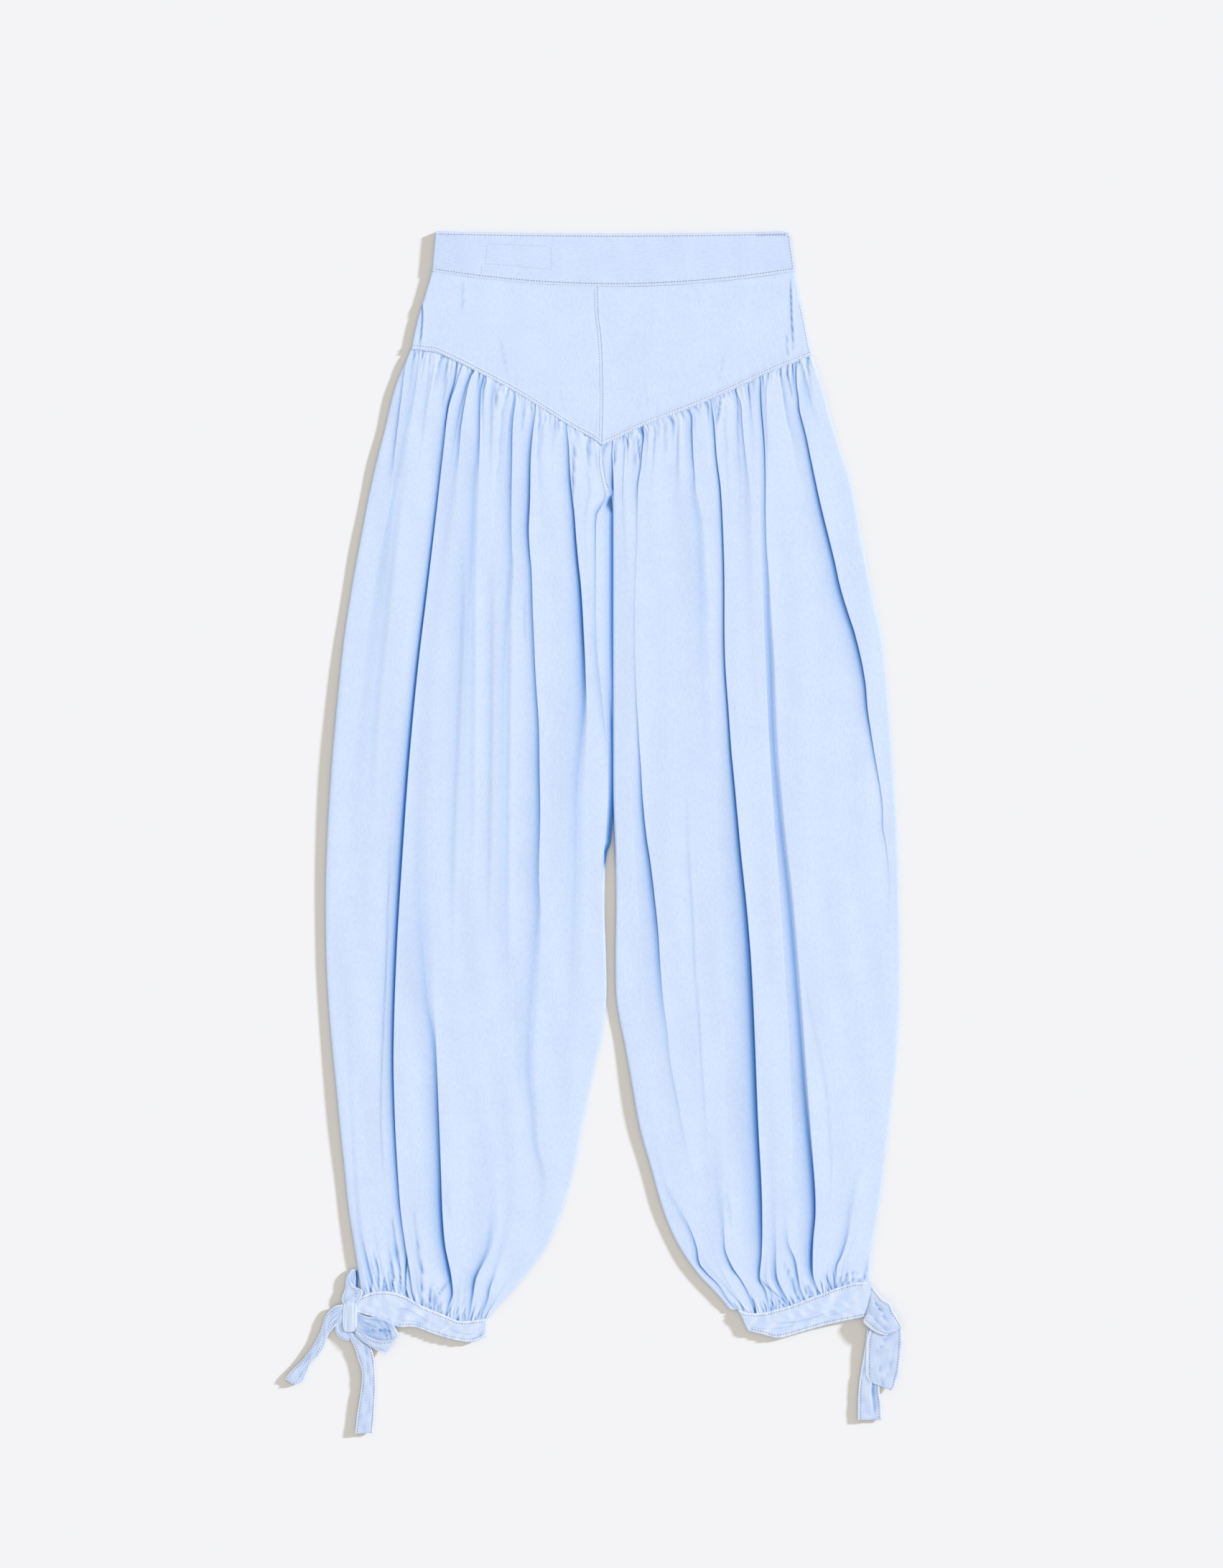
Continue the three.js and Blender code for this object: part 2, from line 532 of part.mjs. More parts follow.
const tieStations = {
  tie_left_loop_up: table(
    stationColumns,
    [-244.6, 1026.5, 2.2, -256.5, 1026.8, 2.2],
    [-243.6, 1014.0, 2.2, -256.6, 1014.0, 2.2],
    [-243.8, 1004.5, 2.4, -254.2, 1003.0, 2.4],
    [-245.0, 998.0, 3.4, -251.8, 997.6, 3.4],
    [-245.0, 998.6, 5.2, -252.2, 998.4, 5.2],
    [-245.0, 1006.0, 5.8, -256.4, 1006.0, 5.8],
    [-245.4, 1016.0, 6.0, -257.6, 1018.0, 6.0],
    [-246.6, 1026.6, 5.6, -258.6, 1027.0, 5.6],
  ),
  tie_left_loop_right: table(
    stationColumns,
    [-246.2, 1056.4, 2.9, -246.2, 1043.0, 2.9],
    [-236.0, 1066.2, 2.9, -233.0, 1052.4, 2.9],
    [-224.0, 1074.6, 2.6, -217.0, 1056.0, 2.4],
    [-216.5, 1077.0, 2.6, -209.0, 1059.4, 2.6],
    [-216.5, 1077.0, 5.0, -208.4, 1059.6, 5.0],
    [-224.0, 1074.4, 6.2, -218.0, 1056.6, 6.6],
    [-236.0, 1064.0, 6.0, -232.0, 1050.0, 6.8],
    [-246.2, 1053.6, 5.4, -246.2, 1040.4, 6.0],
  ),
  tie_left_loop_low: table(
    stationColumns,
    [-261.2, 1049.4, 2.0, -264.2, 1048.2, 2.0],
    [-261.6, 1052.0, 2.0, -265.9, 1051.6, 2.0],
    [-261.2, 1055.0, 2.0, -266.0, 1055.8, 2.0],
    [-259.0, 1058.2, 2.0, -262.6, 1061.0, 2.0],
    [-255.6, 1059.2, 2.0, -257.4, 1064.0, 2.0],
    [-252.9, 1059.2, 2.0, -253.1, 1064.6, 2.0],
  ),
  tie_left_tail_side: table(
    stationColumns,
    [-260.2, 1031.2, 3.4, -260.2, 1045.4, 2.8],
    [-267.5, 1032.6, 2.8, -266.5, 1046.5, 1.8],
    [-274.5, 1038.4, 2.0, -268.0, 1053.0, 1.0],
    [-279.6, 1050.0, 1.4, -272.5, 1058.5, 0.8],
    [-287.0, 1066.0, 1.2, -279.6, 1072.6, 0.8],
    [-300.0, 1087.0, 1.2, -289.0, 1086.0, 0.8],
    [-314.0, 1102.4, 1.0, -296.6, 1101.6, 0.8],
    [-312.0, 1104.6, 1.0, -299.0, 1106.4, 0.8],
  ),
  tie_left_tail_down: table(
    stationColumns,
    [-244.4, 1057.6, 1.0, -252.0, 1057.6, 1.0],
    [-236.4, 1066.6, 0.9, -250.0, 1069.0, 0.9],
    [-230.6, 1079.0, 0.9, -244.6, 1081.4, 0.9],
    [-227.6, 1096.0, 0.9, -240.6, 1096.0, 0.9],
    [-227.2, 1113.0, 0.9, -240.8, 1112.0, 0.9],
    [-228.2, 1135.0, 0.9, -243.8, 1134.0, 0.9],
    [-229.8, 1153.6, 0.9, -246.6, 1155.0, 0.9],
  ),
  tie_right_turn: table(
    stationColumns,
    [249.4, 1010.8, 2.8, 249.4, 1040.6, 4.7],
    [256.5, 1021.2, 3.4, 245.8, 1047.0, 5.2],
    [263.5, 1028.6, 4.2, 249.2, 1053.4, 5.8],
    [270.0, 1037.4, 4.6, 257.6, 1057.6, 6.0],
    [276.0, 1047.4, 4.8, 270.0, 1056.0, 5.8],
  ),
  tie_right_end: table(
    stationColumns,
    [276.6, 1049.4, 2.7, 246.8, 1053.6, 2.9],
    [278.2, 1062.0, 2.6, 243.4, 1064.6, 2.8],
    [277.8, 1075.0, 2.6, 242.8, 1079.0, 2.8],
    [274.8, 1094.0, 2.6, 242.8, 1093.0, 2.8],
    [272.4, 1108.4, 2.6, 246.4, 1103.8, 2.8],
    [268.4, 1112.6, 2.6, 257.6, 1109.4, 2.7],
  ),
  tie_right_tail: table(
    stationColumns,
    [249.2, 1021.0, 0.8, 249.2, 1040.4, 0.8],
    [258.0, 1033.0, 0.8, 246.0, 1049.0, 0.8],
    [260.0, 1050.0, 0.8, 243.6, 1060.0, 0.8],
    [258.6, 1076.0, 0.8, 241.4, 1077.0, 0.8],
    [257.4, 1100.0, 0.8, 237.4, 1101.0, 0.8],
    [257.8, 1122.0, 0.8, 236.2, 1121.6, 0.8],
    [259.0, 1141.4, 0.8, 235.6, 1142.4, 0.8],
  ),
};

// The knot is a lump of wrapped cloth: rounded over the top, flat where it rests
const knotForm = {
  across: -252.9, drop: 1042.0, halfWidth: 6.1, halfLength: 14.2, sideHeight: 1.6, domeHeight: 8.4,
  slant: 2.2, narrowing: 0.3, endRounding: 0.75,
};

function knot() {
  const form = knotForm;
  const skin = (isUpper) => Array.from({ length: KNOT_STEPS + 1 }, (_, r) => {
    const down = mix(-1, 1, r / KNOT_STEPS);
    return {
      share: r / KNOT_STEPS,
      points: Array.from({ length: KNOT_STEPS + 1 }, (__, c) => {
        const aside = mix(-1, 1, c / KNOT_STEPS);
        const reach = form.halfWidth * Math.sqrt(1 - form.narrowing * down ** 2);
        const dome = Math.sqrt((1 - aside ** 4) * (1 - form.endRounding * down ** 4));
        return {
          share: c / KNOT_STEPS,
          at: at(form.across - form.slant * down + reach * aside, form.drop + form.halfLength * down,
            isUpper ? form.sideHeight + form.domeHeight * dome : 0),
        };
      }),
    };
  });
  return wallBetween(skin(true), skin(false));
}

const denimFace = { color: 0xbfd7f6, roughness: 0.92, metalness: 0 };
const denimInside = { color: 0xd3e2f7, roughness: 0.94, metalness: 0 };
const doubledDenim = { color: 0xc4daf6, roughness: 0.9, metalness: 0 };

const jeans = new THREE.Group();

function sew(name, geometry, finish) {
  const mesh = new THREE.Mesh(geometry, new THREE.MeshStandardMaterial(finish));
  mesh.name = name;
  jeans.add(mesh);
}

const yokeFront = { bottomLift: LOWEST_FRONT, cloth: CLOTH, rows: YOKE_ROWS };
const yokeBack = { bottomLift: 0, cloth: BACK_CLOTH, rows: YOKE_ROWS };
const legBack = { bottomLift: 0, cloth: BACK_CLOTH, rows: BACK_ROWS };

sew('waistband', waistband(), doubledDenim);
for (const side of ['left', 'right']) {
  sew(`yoke_front_${side}`, plainPanel(yokePanel(side, 0), yokeFront), denimFace);
  sew(`yoke_back_${side}`, plainPanel(flattened(yokePanel(side, BACK_INSET)), yokeBack), denimInside);
  sew(`leg_front_${side}`, gatheredPanel(legPanel(side, 0)), denimFace);
  sew(`leg_back_${side}`, plainPanel(flattened(legPanel(side, BACK_INSET)), legBack), denimInside);
  sew(`cuff_${side}`, cuff(side), doubledDenim);
}
for (const [name, stations] of Object.entries(tieStations)) {
  sew(name, strip(stations, TIE_CLOTH, TIE_STEPS, 2), doubledDenim);
}
sew('tie_left_knot', knot(), doubledDenim);

export default jeans;
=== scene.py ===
# %% [markdown]
# # Balloon jeans in light denim, laid flat
# The jeans lie on a table with the front up. Every piece of cloth is a thin shell that follows
# the form of its CAD solid, with the folds, gathers and stitches that the solid leaves out.
# We load the solids first, because they fix where each piece lies.

# %% Load the frame
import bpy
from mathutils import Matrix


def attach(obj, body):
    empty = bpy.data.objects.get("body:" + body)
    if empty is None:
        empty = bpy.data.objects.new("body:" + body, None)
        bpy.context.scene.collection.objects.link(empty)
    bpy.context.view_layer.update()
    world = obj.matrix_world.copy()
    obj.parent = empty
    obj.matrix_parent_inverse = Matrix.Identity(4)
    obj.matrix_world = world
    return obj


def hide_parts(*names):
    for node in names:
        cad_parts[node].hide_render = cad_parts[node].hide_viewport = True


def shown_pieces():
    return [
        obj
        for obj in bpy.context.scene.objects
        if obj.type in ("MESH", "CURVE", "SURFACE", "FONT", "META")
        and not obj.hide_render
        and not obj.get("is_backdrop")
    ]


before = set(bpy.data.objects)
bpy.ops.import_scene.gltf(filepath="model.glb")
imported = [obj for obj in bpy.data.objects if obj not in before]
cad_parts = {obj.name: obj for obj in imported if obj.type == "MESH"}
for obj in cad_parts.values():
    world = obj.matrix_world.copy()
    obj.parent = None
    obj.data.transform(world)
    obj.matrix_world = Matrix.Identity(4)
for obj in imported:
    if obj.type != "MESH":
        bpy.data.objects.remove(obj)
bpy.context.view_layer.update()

import math

import bmesh
import bpy
import numpy as np
from mathutils import Matrix, Vector
from mathutils.bvhtree import BVHTree

print("solids in the frame:", len(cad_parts))

# %% [markdown]
# ## Garment coordinates
# A maker measures across from the crotch, down from the waist and up from the table. We do the
# same, in millimetres, and turn such places into points of the frame at the very end.

# %% From garment millimetres to the frame
MM = 0.001
ORIGIN_ACROSS = -17.8
ORIGIN_DROP = 577.6
CLOTH, BACK_CLOTH = 1.0, 1.1
LOWEST_FRONT, SKIN_LEVEL = 1.5, 2.8


def at(across, drop, lift):
    across, drop, lift = np.broadcast_arrays(across, drop, lift)
    return np.stack([across - ORIGIN_ACROSS, ORIGIN_DROP - drop, lift], axis=-1) * MM


def mix(a, b, share):
    return a + (b - a) * share


def smoothstep(t):
    t = np.clip(t, 0, 1)
    return t * t * (3 - 2 * t)


def ridge(distance, reach):
    """1 on a line, and next to nothing at twice the reach from it."""
    return np.exp(-(distance / reach) ** 2)


def fade(distance, reach):
    return np.exp(-np.maximum(distance, 0) / reach)


def rounded(distance, radius):
    """From 0 at an edge to 1 at a radius from it, along a quarter circle."""
    return np.sqrt(np.clip(1 - (1 - np.clip(distance / radius, 0, 1)) ** 2, 0, 1))


def uneven(n, seed):
    """An uneven share from 0 to 1 for the nth gather, the same on every run."""
    wave = np.sin(np.asarray(n) * 12.9898 + seed * 7.31 + 4.1) * 43758.5453
    return wave - np.floor(wave)


# %% [markdown]
# ## Smooth lines through a few points
# Outlines, seams and creases are all drawn the same way: a handful of measured points, and a
# smooth curve through them. A cubic with matching slopes never strays far from its points.

# %% A smooth curve through points
def curve(xs, ys):
    xs, ys = np.asarray(xs, float), np.asarray(ys, float)
    last = len(xs) - 1
    before = np.maximum(np.arange(last + 1) - 1, 0)
    after = np.minimum(np.arange(last + 1) + 1, last)
    slopes = (ys[after] - ys[before]) / (xs[after] - xs[before])

    def value(x):
        x = np.clip(x, xs[0], xs[-1])
        i = np.clip(np.searchsorted(xs, x, side="right") - 1, 0, last - 1)
        span = xs[i + 1] - xs[i]
        t = (x - xs[i]) / span
        s = 1 - t
        return ((1 + 2 * t) * s * s * ys[i] + t * s * s * span * slopes[i]
                + t * t * (3 - 2 * t) * ys[i + 1] - t * t * s * span * slopes[i + 1])
    return value


def moved(line, amount):
    return lambda place: line(place) + amount


def columns_of(rows):
    return [list(column) for column in zip(*rows)]


# %% [markdown]
# ## The outline and the seams
# The legs balloon out from the gathered seam under the yoke and draw in again to the cuffs.
# These are the same lines that the solids were cut from.

# %% Outline of the legs and the yoke
# drop, outer left, inner left, inner right, outer right
LEG_OUTLINE = [
    (112, -193.5, -10.4, -10.4, 189.8), (150, -209.0, -9.6, -9.6, 202.0),
    (190, -219.0, -10.0, -10.0, 213.0), (228, -228.8, -11.6, -11.6, 225.5),
    (243, -232.0, -7.4, -7.4, 230.0), (256, -235.0, -2.2, -1.4, 233.0),
    (280, -239.5, -1.6, -0.6, 237.0), (340, -250.5, -1.4, -0.4, 248.3),
    (400, -259.5, -1.4, -0.4, 260.5), (500, -269.3, -1.4, -0.2, 269.0),
    (545, -272.5, -1.8, 0.1, 272.0), (600, -275.2, -5.5, 2.0, 274.5),
    (640, -276.0, -7.4, 2.8, 275.8), (700, -275.3, -5.6, 2.0, 277.0),
    (740, -273.2, -5.5, 3.4, 276.6), (780, -270.0, -10.8, 11.0, 274.0),
    (820, -266.0, -20.3, 18.0, 270.4), (860, -262.2, -28.4, 25.2, 266.2),
    (900, -257.8, -36.0, 36.5, 261.4), (940, -253.6, -47.4, 48.0, 256.0),
    (972, -248.6, -61.0, 61.8, 250.6), (1000, -244.2, -80.8, 80.5, 248.2),
    (1022, -241.4, -99.5, 101.0, 247.6), (1044, -241.0, -120.0, 119.0, 247.4),
]
# drop, outer left, centre seam, outer right
YOKE_OUTLINE = [
    (36, -173.0, -14.6, 175.3), (60, -180.0, -14.4, 179.5), (83, -187.0, -13.6, 184.3),
    (97, -190.3, -11.6, 187.0), (114, -193.9, -10.4, 190.4), (121, -196.5, -10.0, 192.4),
    (165, -213.0, -9.3, 206.5), (206, -223.0, -10.4, 218.0),
]
leg_drops, *leg_columns = columns_of(LEG_OUTLINE)
LEG_EDGES = dict(zip(("outer_left", "inner_left", "inner_right", "outer_right"),
                     (curve(leg_drops, column) for column in leg_columns)))
yoke_drops, *yoke_columns = columns_of(YOKE_OUTLINE)
YOKE_EDGES = dict(zip(("outer_left", "centre", "outer_right"),
                      (curve(yoke_drops, column) for column in yoke_columns)))

# %% The seams, as a drop for each place across
YOKE_SEAM = {
    "left": [(-194, 113.2), (-181, 114.6), (-169, 116.4), (-158, 121.2), (-132, 134), (-92, 155.3),
             (-37, 189.6), (-18, 199.8), (-10.4, 205.4)],
    "right": [(-10.4, 205.4), (2.8, 199.6), (30, 186.7), (75, 169.5), (110, 154.5), (152, 135.2),
              (192, 119)],
}
CUFF_SEAM = {
    "left": [(-242, 1023), (-231, 1019), (-220, 1017.8), (-208, 1019.5), (-196, 1024.5),
             (-183, 1032), (-169, 1037.8), (-158, 1042.5), (-148, 1046.4), (-135, 1046),
             (-120, 1044)],
    "right": [(118.7, 1034.3), (129, 1038.6), (144, 1038.5), (157, 1035.3), (172.5, 1030.9),
              (187.7, 1024.9), (201, 1020.2), (217.4, 1013.8), (232.5, 1009.7), (247.4, 1009)],
}
for seam in (YOKE_SEAM, CUFF_SEAM):
    for side, points in seam.items():
        seam[side] = curve(*columns_of(points))
# share along the cuff, across, drop
CUFF_HEM = {
    "left": [(0, -245.6, 1037.6), (0.08, -236, 1040.6), (0.2, -220, 1045.2), (0.32, -208, 1051.6),
             (0.44, -190, 1052.2), (0.58, -172, 1058.4), (0.72, -152, 1064.2), (0.88, -134, 1066),
             (1, -121.5, 1060.5)],
    "right": [(0, 247.6, 1041.3), (0.2, 224, 1045.8), (0.4, 201, 1051), (0.6, 180, 1057),
              (0.78, 159, 1062.4), (0.9, 144, 1058.8), (1, 129.5, 1055.4)],
}
WAIST = {"top_left": -169.7, "top_right": 170.5, "bottom_left": -173.2, "bottom_right": 175.5}


def waist_top(across):
    return 2.3 * (1 - (across / 174) ** 2)


def waist_seam(across):
    return 38.5 + 14.5 * (1 - (across / 174) ** 2)


# %% [markdown]
# ## A skin of cloth
# Each panel starts as a flat grid from bmesh. Its rows and columns are then laid where the
# panel's own rows and columns run, so that one column follows one crease and stays sharp.
# A Solidify modifier gives the skin its thickness afterwards.

# %% Lay a grid out as a skin
def lay_out(bm, points, shade_paint, wear_and_highlight):
    """A grid in the bmesh, with its corners laid on points and its two marks on them: painted
    shade, and paleness for wear and painted highlight.
    """
    rows, columns = points.shape[0] - 1, points.shape[1] - 1
    bm.loops.layers.uv.new("UVMap")
    shade_painted, worn_and_lit = (bm.verts.layers.float.new(mark) for mark in ("painted_shade", "wear_and_highlight"))
    bmesh.ops.create_grid(bm, x_segments=columns, y_segments=rows, size=0.5, calc_uvs=True)
    for v in bm.verts:
        r, c = round((0.5 - v.co.y) * rows), round((v.co.x + 0.5) * columns)
        v.co = points[r, c]
        v[shade_painted] = shade_paint[r, c]
        v[worn_and_lit] = wear_and_highlight[r, c]
    for face in bm.faces:
        face.smooth = True


def skin(name, points, shade_paint=0.0, wear_and_highlight=0.0, thickness=CLOTH, offset=-1.0):
    bm = bmesh.new()
    shape = points.shape[:2]
    lay_out(bm, points, np.broadcast_to(shade_paint, shape), np.broadcast_to(wear_and_highlight, shape))
    piece = new_piece(name, bm)
    wall = piece.modifiers.new("cloth", "SOLIDIFY")
    wall.thickness = thickness * MM
    wall.offset = offset
    return piece


def new_piece(name, bm):
    mesh = bpy.data.meshes.new(name)
    bm.to_mesh(mesh)
    bm.free()
    return add_object(name, mesh)


def add_object(name, data):
    made = bpy.data.objects.new(name, data)
    bpy.context.scene.collection.objects.link(made)
    return made


# %% [markdown]
# ## The denim
# It is a light-wash denim with a fine plain face. From a step away one sees pale blue with faint
# lengthwise streaks, where thicker yarns run. Each skin carries two marks that the material reads.
# One paints shade into the colour: darker and bluer in folds, hollows and seams, where shade falls.
# The other pales it: on worn edges and rims, and as a painted highlight on ridges and crests.

# %% Nodes and their inputs
def feed(tree, made, values):
    """Give a node's inputs numbers, colours or the outputs of other nodes."""
    for key, value in values.items():
        if isinstance(value, bpy.types.NodeSocket):
            tree.links.new(value, made.inputs[key])
        else:
            made.inputs[key].default_value = value


def node(tree, kind, *values, **settings):
    made = tree.nodes.new(kind)
    for key in [key for key in settings if key not in made.inputs.keys()]:
        setattr(made, key, settings.pop(key))
    feed(tree, made, dict(enumerate(values)) | settings)
    return made


def texture(tree, kind, place, **settings):
    return node(tree, "ShaderNodeTex" + kind, Vector=place, **settings).outputs["Fac"]


def colour_ramp(tree, share, stops):
    ramp = node(tree, "ShaderNodeValToRGB", share)
    elements = ramp.color_ramp.elements
    while len(elements) < len(stops):
        elements.new(0.5)
    for element, (stop, colour) in zip(elements, stops):
        element.position = stop
        element.color = (*colour, 1)
    return ramp.outputs["Color"]


def multiplied(tree, a, b):
    return node(tree, "ShaderNodeMix", data_type="RGBA", blend_type="MULTIPLY",
                Factor=1.0, A=a, B=b).outputs["Result"]


def new_material(name):
    material = bpy.data.materials.new(name)
    material.use_nodes = True
    return material, material.node_tree, material.node_tree.nodes["Principled BSDF"]


# %% Denim materials
STREAKS = 800
STREAK_STRETCH = 0.3
YARN_SCALE = 330.0
MORE_DYE = (0.91, 0.94, 0.985)
LESS_DYE = 1.055
CLOUDS = [(0.3, (0.965, 0.972, 0.99)), (0.7, (1, 1, 1))]
# Colours multiplied in for the painted shade, from none to the deepest shade in a fold.
SHADE_PAINT_COLOURS = [(0.0, (1, 1, 1)), (0.5, (0.50, 0.655, 0.87)), (1.0, (0.045, 0.20, 0.50))]
# Pale colour mixed in for wear and for painted highlights on ridges.
PALE_EDGE = (0.745, 0.800, 0.885, 1)


def denim(name, face, lengthwise="Y"):
    """Denim with yarns every half millimetre and streaks along one axis of the object."""
    material, tree, shader = new_material(name)
    place = node(tree, "ShaderNodeTexCoord").outputs["Object"]
    stretch = [STREAKS * (STREAK_STRETCH if axis == lengthwise else 1) for axis in "XYZ"]
    stretched = node(tree, "ShaderNodeMapping", Vector=place, Scale=stretch).outputs["Vector"]
    streaks = texture(tree, "Noise", stretched, Scale=1.0, Detail=4.0, Roughness=0.6)
    mottle = texture(tree, "Noise", place, Scale=38.0, Detail=3.0, Roughness=0.5)
    warp, weft = (texture(tree, "Wave", place, bands_direction=axis, Scale=YARN_SCALE,
                          Distortion=0.4) for axis in "XY")
    weave = node(tree, "ShaderNodeMath", warp, weft, operation="MULTIPLY").outputs["Value"]

    deep, pale = [c * k for c, k in zip(face, MORE_DYE)], [c * LESS_DYE for c in face]
    tone = colour_ramp(tree, streaks, [(0.28, deep), (0.5, face), (0.72, pale)])
    cloudy = multiplied(tree, tone, colour_ramp(tree, mottle, CLOUDS))
    # The two marks: painted shade, which darkens and blues the cloth where shade falls, and
    # paleness, which is wear on edges and rims and painted highlight on ridges.
    shade_amount, wear_and_highlight_amount = (node(tree, "ShaderNodeAttribute", attribute_name=mark).outputs["Fac"]
                         for mark in ("painted_shade", "wear_and_highlight"))
    shade_painted = multiplied(tree, cloudy, colour_ramp(tree, shade_amount, SHADE_PAINT_COLOURS))
    worn_and_lit = node(tree, "ShaderNodeMix", data_type="RGBA", Factor=wear_and_highlight_amount, A=shade_painted, B=PALE_EDGE)

    relief = node(tree, "ShaderNodeMath", weave, 0.5, streaks, operation="MULTIPLY_ADD")
    bump = node(tree, "ShaderNodeBump", Strength=0.22, Distance=0.00035,
                Height=relief.outputs["Value"])
    feed(tree, shader, {"Base Color": worn_and_lit.outputs["Result"], "Normal": bump.outputs["Normal"],
                        "Roughness": 0.9, "Specular IOR Level": 0.15,
                        "Sheen Weight": 0.12, "Sheen Roughness": 0.6})
    return material


denim_face = denim("light denim", (0.601, 0.702, 0.888))
denim_band = denim("light denim, doubled", (0.588, 0.686, 0.880), "X")
denim_tie = denim("light denim, ties", (0.566, 0.660, 0.830))
denim_inside = denim("denim, inner face", (0.520, 0.620, 0.800))

# %% [markdown]
# Sewing thread is pale beige-grey and a little glossier than the cloth. Each stitch is too small
# for a pattern, so a fine noise is enough to break its colour. Between two stitches the thread
# dives into a small hole, and the shade in that hole is painted with a dark material.

# %% Thread materials
def thread(name, colour):
    material, tree, shader = new_material(name)
    place = node(tree, "ShaderNodeTexCoord").outputs["Object"]
    twist = texture(tree, "Noise", place, Scale=900.0, Detail=2.0)
    tone = colour_ramp(tree, twist, [(0.3, [c * 0.82 for c in colour]), (0.7, colour)])
    feed(tree, shader, {"Base Color": tone, "Roughness": 0.65})
    return material


thread_pale = thread("thread, pale", (0.82, 0.83, 0.86))
thread_beige = thread("thread, beige", (0.80, 0.74, 0.70))
# Painted shade: a near-black material for the shade inside the needle holes.
thread_hole_shade = thread("thread hole, painted dark for its shade", (0.13, 0.13, 0.18))
